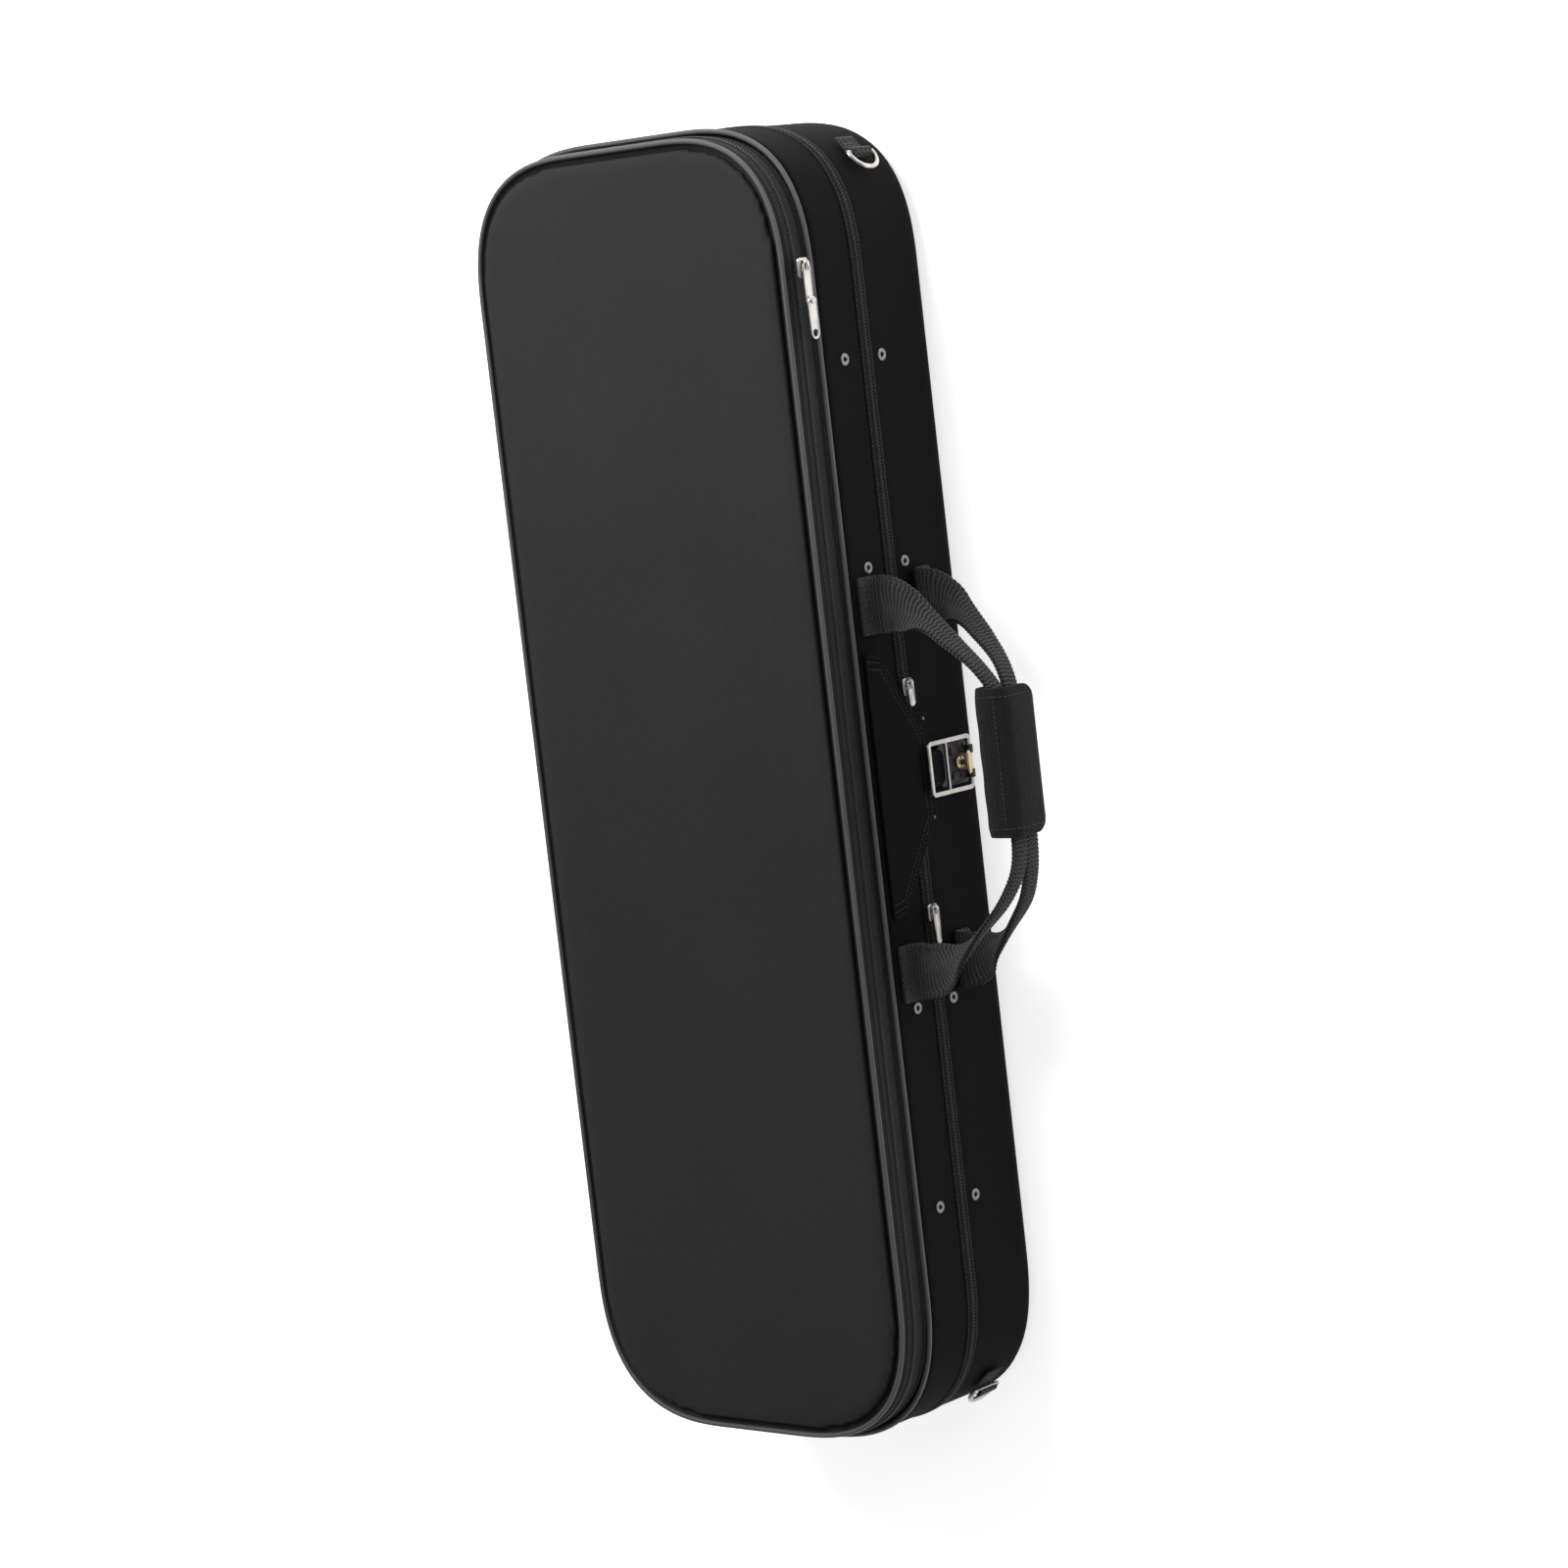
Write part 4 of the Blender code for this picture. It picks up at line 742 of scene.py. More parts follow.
# %% Swelling a pad with the cloth solver
def swell(obj, voxel, pressure, cap, frames=20, smooth=1):
    """Remesh, inflate with the cloth solver, cap each point's move, and subdivide once."""
    remesh = obj.modifiers.new("even", "REMESH")
    remesh.mode, remesh.voxel_size, remesh.use_smooth_shade = "VOXEL", voxel, True
    bpy.context.view_layer.update()
    even = bpy.data.meshes.new_from_object(obj.evaluated_get(bpy.context.evaluated_depsgraph_get()))
    obj.modifiers.clear()
    obj.data = even
    count = len(even.vertices)
    rest = np.zeros(count * 3)
    even.vertices.foreach_get("co", rest)
    rest = rest.reshape(-1, 3)
    cloth = obj.modifiers.new("swell", "CLOTH")
    cloth.settings.use_pressure = True
    cloth.settings.uniform_pressure_force = pressure
    cloth.settings.effector_weights.gravity = 0.0
    cloth.settings.quality = 4
    for step in range(1, frames + 1):
        bpy.context.scene.frame_set(step)
    blown = bpy.data.meshes.new_from_object(obj.evaluated_get(bpy.context.evaluated_depsgraph_get()))
    moved = np.zeros(count * 3)
    blown.vertices.foreach_get("co", moved)
    step = moved.reshape(-1, 3) - rest
    far = np.linalg.norm(step, axis=1, keepdims=True)
    step *= np.minimum(1.0, cap / np.maximum(far, 1e-9))
    obj.modifiers.clear()
    even.vertices.foreach_set("co", (rest + step).ravel())
    bpy.context.scene.frame_set(1)
    print(obj.name, "swelled by up to %.1f mm" % (1000 * np.linalg.norm(step, axis=1).max()))
    finer = obj.modifiers.new("finer", "SUBSURF")
    finer.levels = finer.render_levels = smooth
    return obj


pad_box_low, pad_box_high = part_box("pocket_panel")
panel_inset = HALF_X - pad_box_high[0]
panel_slab = slab(panel_inset + 0.0001, pad_box_low[2] + 0.0004, pad_box_high[2] - 0.0024, 0.0018,
                  crown=0.0012, rings=14)
panel = piece("pocket_panel_pad", [panel_slab], PANEL_CLOTH, None)
swell(panel, 0.0030, 4.0, 0.0012)
dress(panel, PANEL_CLOTH, "pocket_flap", ["pocket_panel"])
under_pad, over_gusset = pad_box_low[2] + 0.0002, upper_high + 0.0001
allowance = [(panel_pipe_inset - 0.0002, over_gusset), (panel_inset + 0.0090, over_gusset),
             (panel_inset + 0.0090, under_pad), (panel_inset - 0.0001, under_pad),
             (panel_pipe_inset + 0.0006, panel_pipe_z - 0.0003),
             (panel_pipe_inset - 0.0002, panel_pipe_z - 0.0004)]
piece("panel_seam_allowance", [wall([(inset, 0.0, z) for inset, z in allowance])], PANEL_CLOTH,
      "pocket_flap")

# %% [markdown]
# ## Cloth hinges at the back
# The lid and the pocket each turn on metal or on the sewn tape, and a strip of cloth behind the tapes keeps
# the gap closed. Each strip is fixed in place, on neither body.

# %% Back strips
X_AXIS, Y_AXIS, Z_AXIS = np.eye(3)
STRIP_REACH = 0.29   # the strips stop short of the corners


def back_strip(name, y, low, high, reach_x):
    """A flat strip along the back, finely divided across its height."""
    z = np.linspace(low, high, 13)
    across = np.column_stack([np.concatenate([z, z[::-1]]), np.repeat([0.0, -0.0005], 13)])
    path = rows_of(np.linspace(-reach_x, reach_x, 41), y, 0.0)
    strip = piece(name, [carried(path, Z_AXIS, Y_AXIS, across)], BINDING, None)
    middle = (low + high) / 2
    middle - 0.0022
    middle + 0.0022
    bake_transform(strip)


split_z = (base_high + lid_low) / 2
back_strip("back_hinge_cloth", HALF_Y - 0.0006, split_z - 0.0048, split_z + 0.0048, STRIP_REACH)
pocket_zip_z = (lower_high + upper_low) / 2
back_strip("pocket_hinge_cloth", HALF_Y - lower_inset - 0.0010, pocket_zip_z - 0.0045,
           pocket_zip_z + 0.0045, STRIP_REACH)

# %% [markdown]
# ## Webbing handles
# Each handle is one strap. It lies flat where it is sewn under the lid's edge, narrows and folds along its
# middle, and runs as a thick double strap into the grip. The path and the strap's width, thickness
# and turn are read from one smooth curve through a few stations, and the section changes from a flat oval
# to a plump one with a slit along its open edge.

# %% Strap curve
def oval(wide, thick, square=9.0, soft=4.0, sides=32):
    """A strap seen end on: (|cos a|^(2/square), |sin a|^(2/soft)) scaled to half its width and thickness."""
    a = np.arange(sides) * 2 * np.pi / sides
    cos, sin = np.cos(a), np.sin(a)
    return np.column_stack([wide / 2 * np.sign(cos) * np.abs(cos) ** (2 / square),
                            thick / 2 * np.sign(sin) * np.abs(sin) ** (2 / soft)])


HANDLE_MIDDLE, WEBBING_WIDE, FOLDED_WIDE, RIB = -0.0008, 0.0350, 0.0125, 0.0026
STRAP_ROWS = np.array([   # offset along the case, out of the wall, off the join, width, thickness, turn
    (0.1108, 0.0045, 0.0180, 0.0350, 0.0022, 0), (0.1098, 0.0165, 0.0190, 0.0329, 0.0022, 0),
    (0.1063, 0.0255, 0.0192, 0.0280, 0.0026, 8), (0.1013, 0.0355, 0.0178, 0.0181, 0.0045, 40),
    (0.0848, 0.0545, 0.0146, 0.0138, 0.0045, 75), (0.0693, 0.0685, 0.0106, 0.0125, 0.0045, 88),
    (0.0568, 0.0753, 0.0072, 0.0125, 0.0045, 90)])


def through(rows, count):
    """A smooth curve through rows of numbers, by cubic pieces whose slopes are the rows' own gradients."""
    at = lengths(rows[:, :3])
    slope = np.gradient(rows, at, axis=0)
    where = np.linspace(0, at[-1], count)
    k = np.clip(np.searchsorted(at, where) - 1, 0, len(at) - 2)
    gap = (at[k + 1] - at[k])[:, None]
    t = (where - at[k])[:, None] / gap
    return ((2 * t**3 - 3 * t**2 + 1) * rows[k] + (t**3 - 2 * t**2 + t) * gap * slope[k]
            + (3 * t**2 - 2 * t**3) * rows[k + 1] + (t**3 - t**2) * gap * slope[k + 1])


def strap_rows(way):
    """Rows (x, y, z, width, thickness, turn) of a handle; way is 1 for the lid's, -1 for the base's."""
    head = np.array(STRAP_ROWS)
    head = np.column_stack([HANDLE_MIDDLE + head[:, 0], -HALF_Y - head[:, 1], split_z + way * head[:, 2],
                            head[:, 3:]])
    foot = head[::-1].copy()
    foot[:, 0] = 2 * HANDLE_MIDDLE - foot[:, 0]
    foot[:, 5] = 180 - foot[:, 5]
    middle = np.array([[0.0130, -HALF_Y - 0.0765, split_z + way * 0.0072, 0.0125, 0.0045, 90.0]])
    return through(np.vstack([head, middle, foot]), 801)


def strap_surface(rows, sides=28, slit=0.30):
    """Section |cos|^(2/n), |sin|^(2/n) at the strap's size; n falls from 9 to 2.8 as the strap folds."""
    path = rows[:, :3]
    ahead = unit(np.gradient(path, axis=0))
    upright = unit(Z_AXIS - ahead * ahead[:, 2:])
    level = np.cross(ahead, upright)
    turn = np.radians(rows[:, 5:6])
    across = level * np.cos(turn) + upright * np.sin(turn)
    through_it = unit(np.cross(across, ahead))
    fold = np.clip((WEBBING_WIDE - rows[:, 3]) / (WEBBING_WIDE - FOLDED_WIDE), 0, 1)[:, None]
    power = 2 / (9 - 6.2 * fold)
    a = np.arange(sides) * 2 * np.pi / sides
    cos, sin = np.cos(a), np.sin(a)
    s = rows[:, 3:4] / 2 * np.sign(cos) * np.abs(cos) ** power
    t = rows[:, 4:5] / 2 * np.sign(sin) * np.abs(sin) ** power
    wrapped = (a + np.pi) % (2 * np.pi) - np.pi
    s = s * (1 - slit * fold * np.exp(-(wrapped / 0.20) ** 2))
    ribs = 0.00016 * np.sin(lengths(path)[:, None] * 2 * np.pi / RIB)
    s, t = s + ribs * 0.5 * np.sign(cos), t + ribs * np.abs(np.sign(sin)) * np.sign(t)
    return carried(path, across, through_it, np.stack([s, t], -1))


for name, way in (("lid", 1), ("base", -1)):
    piece(name + "_handle_strap", [strap_surface(strap_rows(way))], WEBBING, name + "_handle",
          [name + "_handle_loop"])
print("strap length: %.3f m" % lengths(strap_rows(1)[:, :3])[-1])

# %% Sewn ends and the bend between them and the straps
def patch(wide, high, thick):
    """A flat piece of webbing seen from the front: (across, through) sections along its height."""
    rows = 15
    z = np.linspace(-high / 2, high / 2, rows)
    tuck = 1 - 0.04 * np.abs(2 * z / high) ** 10
    return z, oval(wide, thick, 12.0, 3.0)[None] * np.column_stack([tuck, np.ones(rows)])[:, None]


for name, way in (("lid", 1), ("base", -1)):
    for number, side in ((1, 1), (2, -1)):
        node = f"{name}_handle_anchor_{number}"
        low, high = box_of(node)
        middle = (low + high) / 2
        z, section = patch(high[0] - low[0], high[2] - low[2], high[1] - low[1])
        path = middle + np.outer(z, Z_AXIS)
        face_y = low[1] - 0.0001
        half, tall = (high[0] - low[0]) / 2 - 0.0035, (high[2] - low[2]) / 2 - 0.0022
        a = (middle[0] - half, face_y, middle[2] - tall)
        b = (middle[0] + half, face_y, middle[2] + tall)
        c, d = (a[0], face_y, b[2]), (b[0], face_y, a[2])
        cross = [path_seam([a, d, b, c, a], (0, -1, 0)), path_seam([a, b], (0, -1, 0)),
                 path_seam([c, d], (0, -1, 0))]
        piece(f"{name}_strap_end_{number}", [carried(path, X_AXIS, Y_AXIS, section)], WEBBING, name, [node])
        piece(f"{name}_strap_end_stitches_{number}", cross, THREAD_BLACK, name)
        pivot_z = split_z + way * 0.0180
        turn = np.linspace(0, np.pi / 2, 11)
        bend_y = middle[1] - 0.0052 * (1 - np.cos(turn))
        bend_z = pivot_z + way * 0.0075 * (1 - np.sin(turn))
        bend = rows_of(middle[0], bend_y, bend_z)
        bend = np.vstack([[middle[0], middle[1], pivot_z + way * 0.0090], bend,
                          [middle[0], middle[1] - 0.0085, pivot_z]])
        ahead = unit(np.gradient(bend, axis=0))
        flat_section = oval(WEBBING_WIDE * 0.995, 0.0023)
        knee = piece(f"{name}_strap_knee_{number}",
                     [carried(bend, X_AXIS, np.cross(ahead, X_AXIS), flat_section)], WEBBING, None)
        name + "_handle"
        middle[1] - 0.0070
        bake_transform(knee)

# %% [markdown]
# ## The grip
# The grip is a padded sleeve on the lid's strap. It is open underneath, where the base's strap comes out
# when the handles are parted. Its faces are slightly full, its ends are drawn in by a seam, and the upper
# layer ends in a sewn edge along the outer corner.

# %% Padded grip
grip_low, grip_high = box_of("grip_wrap")
grip_middle = (grip_low + grip_high) / 2
GRIP_LONG, GRIP_DEEP, GRIP_PAD = grip_high[0] - grip_low[0], grip_high[1] - grip_low[1], 0.0030
axis_z = grip_high[2] - 0.0165


def grip_section(puff, lift=0.0, overlap=0.0007, steps=7):
    """Outer path over the top, then back along the inner side: faces bulge by puff, corners are round.

    lift shortens the front leg, which rounds the sleeve's two lower front corners near its ends.
    """
    soft, deep, tall, leg = 0.0064, GRIP_DEEP / 2, grip_high[2] - axis_z, grip_low[2] - axis_z
    quarter = np.radians(np.linspace(0, 90, steps))
    rise = np.linspace(leg, tall - soft, 9)[:-1]
    level = np.linspace(deep - soft, soft - deep, 9)[1:-1]
    outer = np.concatenate([rows_of(deep, rise),
                            np.column_stack([deep - soft + soft * np.cos(quarter),
                                             tall - soft + soft * np.sin(quarter)]), rows_of(level, tall),
                            np.column_stack([soft - deep - soft * np.sin(quarter),
                                             tall - soft + soft * np.cos(quarter)]),
                            rows_of(-deep, rise[::-1] + lift * np.linspace(0, 1, 8))])
    facing = unit(np.column_stack([np.gradient(outer[:, 1]), -np.gradient(outer[:, 0])]))
    share = np.linspace(0, 1, len(outer))
    full = np.sin(np.pi * np.clip(share * 3 % 1, 0, 1)) ** 0.8
    layer = overlap / (1 + np.exp((share - 0.66) * 140))
    swollen = outer + facing * (puff * full + layer)[:, None]
    inner = outer - facing * GRIP_PAD
    return swollen, inner


grip_x = np.concatenate([[-0.5], 0.497 * np.sin(np.linspace(-np.pi / 2, np.pi / 2, 61)), [0.5]]) * GRIP_LONG
end = np.clip((np.abs(grip_x) - (GRIP_LONG / 2 - 0.007)) / 0.007, 0, 1)
sections = []
CORNER = 0.0090
corner_in = np.clip(np.abs(grip_x) - (GRIP_LONG / 2 - CORNER), 0, CORNER)
lifts = CORNER - np.sqrt(CORNER ** 2 - corner_in ** 2)
for x, near_end, lift in zip(grip_x, end, lifts):
    swollen, inner = grip_section((0.0012 + 0.0003 * np.sin(x * 260)) * (1 - near_end), lift)
    middle = (swollen + inner) / 2
    pull = 0.28 * near_end ** 4
    section = np.concatenate([swollen + (middle - swollen) * pull, (inner + (middle - inner) * pull)[::-1]])
    sections.append(section)
first = (sections[0][:len(sections[0]) // 2] + sections[0][len(sections[0]) // 2:][::-1]) / 2
sections[0] = sections[-1] = np.concatenate([first, first[::-1]])
grip_path = rows_of(grip_middle[0] + grip_x, grip_middle[1], axis_z)
grip = piece("grip_pad", [carried(grip_path, Y_AXIS, Z_AXIS, np.array(sections), ends=False)], GRIP_CLOTH,
             "lid_handle", ["grip_wrap"])
mouth = grip_section(0.0009)[0]
hoops = []
for x in (-GRIP_LONG / 2 + 0.0055, GRIP_LONG / 2 - 0.0055):
    hoop = rows_of(grip_middle[0] + x, grip_middle[1] + mouth[:, 0], axis_z + mouth[:, 1])
    facing = unit(rows_of(0.0, np.gradient(mouth[:, 1]), -np.gradient(mouth[:, 0])))
    ahead = unit(np.gradient(hoop, axis=0))
    at = lengths(hoop)
    where = np.arange(0.001, at[-1] - 0.001, 0.003)
    place, along, away = (sample(where, at, table) for table in (hoop, ahead, facing))
    along, away = unit(along), unit(away)
    hoops.append(row_of(bead(0.0023, 0.0006, 0.0006), place, along, np.cross(away, along), away))
corner = int(0.66 * len(mouth))
edge_y, edge_z = grip_middle[1] + mouth[corner - 2, 0] - 0.0006, axis_z + mouth[corner - 2, 1]
rim = path_seam([(grip_low[0] + 0.004, edge_y, edge_z), (grip_high[0] - 0.004, edge_y, edge_z)],
                (0, -1, 0.4))
piece("grip_stitches", hoops + [rim], THREAD_BLACK, "lid_handle")

# %% [markdown]
# ## Flap and tongue
# The closure flap hides the zip under the handles. It is a trapezoid of cloth with a bound edge and two
# rows of stitches. A short tongue goes on from its tip, down behind the latch frame.

# %% Flap
flap_low, flap_high = box_of("closure_flap")
flap_x = (flap_low[0] + flap_high[0]) / 2
flap_face = flap_low[1]
flap_top, flap_foot = flap_high[2], split_z - 0.015


def flap_half_width(z):
    """Half width at a height: nearly upright above the shoulder, then straight to the rounded tip."""
    return np.interp(flap_top - z, [0, 0.012, 0.0465, 0.0495], [0.0800, 0.0776, 0.0260, 0.0234])


flap_z = np.concatenate([np.linspace(flap_top, flap_foot + 0.004, 40),
                         flap_foot + 0.004 * np.cos(np.linspace(0, np.pi / 2, 8))[1:]])
half_width = flap_half_width(flap_z)
foot_share = np.clip((flap_foot + 0.004 - flap_z) / 0.004, 0, 1)
half_width = half_width - 0.0030 * (1 - np.sqrt(np.clip(1 - foot_share ** 2, 0, 1)))
cell = np.linspace(-1, 1, 41)
puffed = 0.00025 * (1 - cell ** 2)
face = 0.0008 * (1 - np.abs(cell) ** 30)
outer_face = np.column_stack([cell, -(face + puffed)])
inner_face = np.column_stack([cell[::-1], face[::-1] * 0.9])
flap_section = np.concatenate([outer_face, inner_face])
flap_sections = flap_section[None] * np.stack([half_width, np.ones_like(half_width)], -1)[:, None]
flap_y = (flap_low[1] + flap_high[1]) / 2
flap_path = rows_of(flap_x, flap_y, flap_z)
piece("flap_cloth", [carried(flap_path, X_AXIS, Y_AXIS, flap_sections)], FLAP_CLOTH, "lid",
      ["closure_flap"])


def flap_line(inset, y=None):
    """The flap's outline from one upper corner to the other, moved in by inset."""
    z = np.linspace(flap_top - 0.001, flap_foot + inset, 34)
    x = flap_half_width(z) - inset * np.where(z > flap_top - 0.012, 1.0, 1.2)
    level = np.full(34, flap_face - 0.0002 if y is None else y)
    right = np.column_stack([flap_x + x, level, z])
    left = np.column_stack([flap_x - x, level, z])[::-1]
    return np.vstack([right, left])


edge_path = flap_line(0.0012, flap_face + 0.0006)
edge_ahead = unit(np.gradient(edge_path, axis=0))

binding = carried(edge_path, np.cross(edge_ahead, Y_AXIS), Y_AXIS, circle(1.0, 12) * (0.0016, 0.0011))
piece("flap_binding", [binding], BINDING, "lid")
piece("flap_stitches", [path_seam(flap_line(0.0042), (0, -1, 0)), path_seam(flap_line(0.0085), (0, -1, 0))],
      THREAD_BLACK, "lid")

# %% Tongue
latch_low, latch_high = box_of("latch_frame")
latch_x = (latch_low[0] + latch_high[0]) / 2
plate_low, plate_high = box_of("lock_plate")
bar_z = latch_low[2] + 0.0015 + 0.56 * (latch_high[2] - latch_low[2] - 0.0015)
tongue_z = np.linspace(split_z - 0.005, bar_z - 0.0005, 24)
tongue_share = np.linspace(0, 1, 24)
tongue_y = flap_face - 0.0005 - 0.0008 * np.sin(np.pi * np.clip(tongue_share * 1.3, 0, 1))
tongue_y = np.minimum(tongue_y, plate_low[1] - 0.0012)
tongue_path = rows_of(latch_x, tongue_y, tongue_z)
tongue_half = 0.0120 - 0.0010 * tongue_share - 0.003 * tongue_share ** 12
tongue_section = oval(2.0, 0.0014)[None] * np.column_stack([tongue_half, np.ones(24)])[:, None]
piece("tongue", [carried(tongue_path, X_AXIS, Y_AXIS, tongue_section)], FLAP_CLOTH, "lid")
tongue_seam = [path_seam([(latch_x + s * 0.0095, tongue_y[4] - 0.0008, tongue_z[3]),
                          (latch_x + s * 0.0090, tongue_y[16] - 0.0008, tongue_z[16])],
                         (0, -1, 0)) for s in (-1, 1)]
piece("tongue_stitches", tongue_seam, THREAD_BLACK, "lid")

# %% [markdown]
# ## Metal fittings
# The rivets are hollow: a turned ring with a rolled edge and a bore. The latch is a cast frame with two
# windows that drops over a turn knob on a dark plate. Pull tabs are plates with a raised rim and a round eye,
# which a bridge on the slider passes through. Turned shapes are profiles swept round an axis.

# %% Turned and pierced shapes
def turned(profile, centre, axis, side, sides=28):
    """(radius, height) rows turned round axis: point = centre + r * (side, across) + h * axis."""
    angle = np.arange(sides) * 2 * np.pi / sides
    across = np.cross(axis, side)
    ring = np.cos(angle)[:, None] * side + np.sin(angle)[:, None] * across
    radius, height = np.asarray(profile, float).T
    points = centre + radius[None, :, None] * ring[:, None] + height[None, :, None] * np.asarray(axis,
                                                                                                 float)
    return grid(points, np.append(angle, 2 * np.pi) * 0.004,
                lengths(np.column_stack([radius, height]), True), True, True)


def bar(points, section, up, loop=False):
    """A rod of this section along a smooth path; up is the direction of its second section axis."""
    path = np.asarray(points, float)
    ring = np.vstack([path[-1:], path, path[:1]]) if loop else path
    ahead = unit(np.gradient(ring, axis=0))
    ahead = ahead[1:-1] if loop else ahead
    up = np.broadcast_to(np.asarray(up, float), ahead.shape)
    return carried(path, unit(np.cross(ahead, up)), up, section, wrap_u=loop)


def plate(outer, middle, eye, thick, origin, x_way, y_way, rim=0.0, sink=0.0):
    """A flat plate with a round eye: washer loft from the outline to the eye, edges rounded, rim raised.

    outer is an (n, 2) outline, middle and eye the hole's place and radius, all in plate coordinates.
    """
    spoke = unit(outer - middle)
    hole = middle + spoke * eye
    round_by = thick * 0.35
    span_in = outer - spoke * (round_by + 0.0006)
    lip = outer - spoke * (round_by + 0.0011)
    near = hole + spoke * round_by
    order = [(outer, 0.5 * thick - round_by), (outer - spoke * round_by, 0.5 * thick + rim),
             (span_in, 0.5 * thick + rim), (lip, 0.5 * thick - sink), (near + spoke * 0.0002, 0.5 * thick),
             (near, 0.5 * thick), (hole, 0.5 * thick - round_by), (hole, round_by - 0.5 * thick),
             (near, -0.5 * thick), (outer - spoke * round_by, -0.5 * thick),
             (outer, round_by - 0.5 * thick)]
    z_way = np.cross(x_way, y_way)
    points = np.stack([np.asarray(origin) + flat[:, :1] * x_way + flat[:,
                                                                       1:] * y_way + level * z_way for flat,
                       level in order], 1)
    around = lengths(outer, True)
    return grid(points, around, np.arange(len(order) + 1) * 0.001, True, True)


def pull_outline(length, wide, tip, points=56):
    """A tapered tab along -X from its eye end: half circles of two radii joined by straight sides."""
    back = np.radians(np.linspace(80, -80, points // 4))
    front = np.radians(np.linspace(-90, -270, points // 4))
    head = np.column_stack([wide * np.cos(back), wide * np.sin(back)])
    nose = np.column_stack([tip - length + tip * np.cos(front), tip * np.sin(front)])
    low, high = head[-1], nose[0]
    share = np.linspace(0, 1, points // 4 + 2)[1:-1, None]
    return np.vstack([head, low + (high - low) * share, nose, nose[-1] + (head[0] - nose[-1]) * share])


# %% Hollow rivets
for body in ("lid", "base"):
    for number in range(1, 5):
        node = f"{body}_rivet_{number}"
        low, high = box_of(node)
        centre = np.array([(low[0] + high[0]) / 2, -HALF_Y, (low[2] + high[2]) / 2])
        head, tail, bore = (high[0] - low[0]) / 2, -(high[1] + HALF_Y), 0.0013
        proud = -HALF_Y - low[1]
        angle = np.radians(np.linspace(0, 180, 12))
        ring_middle, ring_half = (head + bore) / 2, (head - bore) / 2
        dome = np.column_stack([ring_middle + ring_half * np.cos(angle),
                                0.0001 + (proud - 0.0001) * np.sin(angle) ** 0.8])
        inner = [(bore, tail + 0.0002), (bore + 0.0003, tail), (0.0030, tail), (0.0031, tail + 0.0006),
                 (0.0022, tail + 0.0008), (0.0021, -0.0001), (head - 0.0002, -0.0001)]
        piece(f"{body}_hollow_rivet_{number}", [turned(np.vstack([dome, inner]), centre, -Y_AXIS, X_AXIS)],
              AGED, body, [node], sharp=50)
for number, (x, z) in enumerate(((0.037, 0.0525), (-0.023, 0.0520)), 1):
    dome = np.array([(0.0, 0.0007), (0.0006, 0.0006), (0.0010, 0.0003), (0.0011, 0.0), (0.0011, -0.0004),
                     (0.0, -0.0004)])
    piece(f"flap_rivet_{number}", [turned(dome, np.array([x, flap_face, z]), -Y_AXIS, X_AXIS, 16)], AGED,
          "lid")

# %% Latch frame, plate and knob
frame_y, frame_thick = (latch_low[1] + latch_high[1]) / 2, latch_high[1] - latch_low[1]
BAR = 0.0030
bar_section = rounded_box(BAR, frame_thick, 0.0008, 3)


def frame_loop(low_x, high_x, low_z, high_z, corner=0.0022, steps=6):
    """Centreline of a rounded rectangle in the frame's plane."""
    loop = rounded_box(high_x - low_x, high_z - low_z, corner, steps)
    middle = ((low_x + high_x) / 2, (low_z + high_z) / 2)
    return rows_of(loop[:, 0] + middle[0], frame_y, loop[:, 1] + middle[1])


outer_loop = frame_loop(latch_low[0] + BAR / 2, latch_high[0] - BAR / 2, latch_low[2] + BAR / 2,
                        latch_high[2] - BAR / 2)
cross_bar = rows_of(np.linspace(latch_low[0] + BAR / 2, latch_high[0] - BAR / 2, 9), frame_y, bar_z)
hinge_rod = cross_bar.copy()
hinge_rod[:, 2] = latch_low[2] + BAR / 2
parts = [bar(outer_loop, bar_section, Y_AXIS, loop=True), bar(cross_bar, bar_section * (0.55, 0.9), Y_AXIS),
         bar(hinge_rod, circle(0.0014, 14), Y_AXIS)]
piece("latch_frame_cast", parts, NICKEL, "latch", ["latch_frame"], sharp=60)
plate_middle = (plate_low + plate_high) / 2
rod_z = latch_low[2] + BAR / 2
lead = rows_of(0.0, plate_low[1] - 0.0004, np.linspace(rod_z + 0.0125, rod_z + 0.0040, 6))
lug_section = rounded_box(0.0050, 0.0007, 0.0003, 3)
for number, lug_x in enumerate((latch_low[0] + 0.0095, latch_high[0] - 0.0095), 1):
    turn = np.radians(np.linspace(60, 330, 24))
    curl = rows_of(0.0, frame_y + 0.0021 * np.cos(turn), rod_z + 0.0021 * np.sin(turn))
    strip = through(np.vstack([lead, curl]), 40) + (lug_x, 0, 0)
    ahead = unit(np.gradient(strip, axis=0))
    piece(f"latch_lug_{number}", [carried(strip, X_AXIS, np.cross(ahead, X_AXIS), lug_section)], STEEL,
          "base")
plate_size = plate_high - plate_low
plate_outline = rounded_box(plate_size[0], plate_size[2], 0.003, 5)
edge_steps = np.array([0.0, 0.0, 0.0, 0.0003, 0.0008])
edge_y = plate_middle[1] + plate_size[1] * np.array([0.5, 0.2, -0.25, -0.42, -0.5])
plate_path = rows_of(plate_middle[0], edge_y, plate_middle[2])
plate_scale = 1 - edge_steps[:, None, None] / (plate_size[0] / 2)
piece("lock_plate_dark", [carried(plate_path, X_AXIS, Z_AXIS, plate_outline * plate_scale)], STEEL, "base",
      ["lock_plate"], sharp=50)
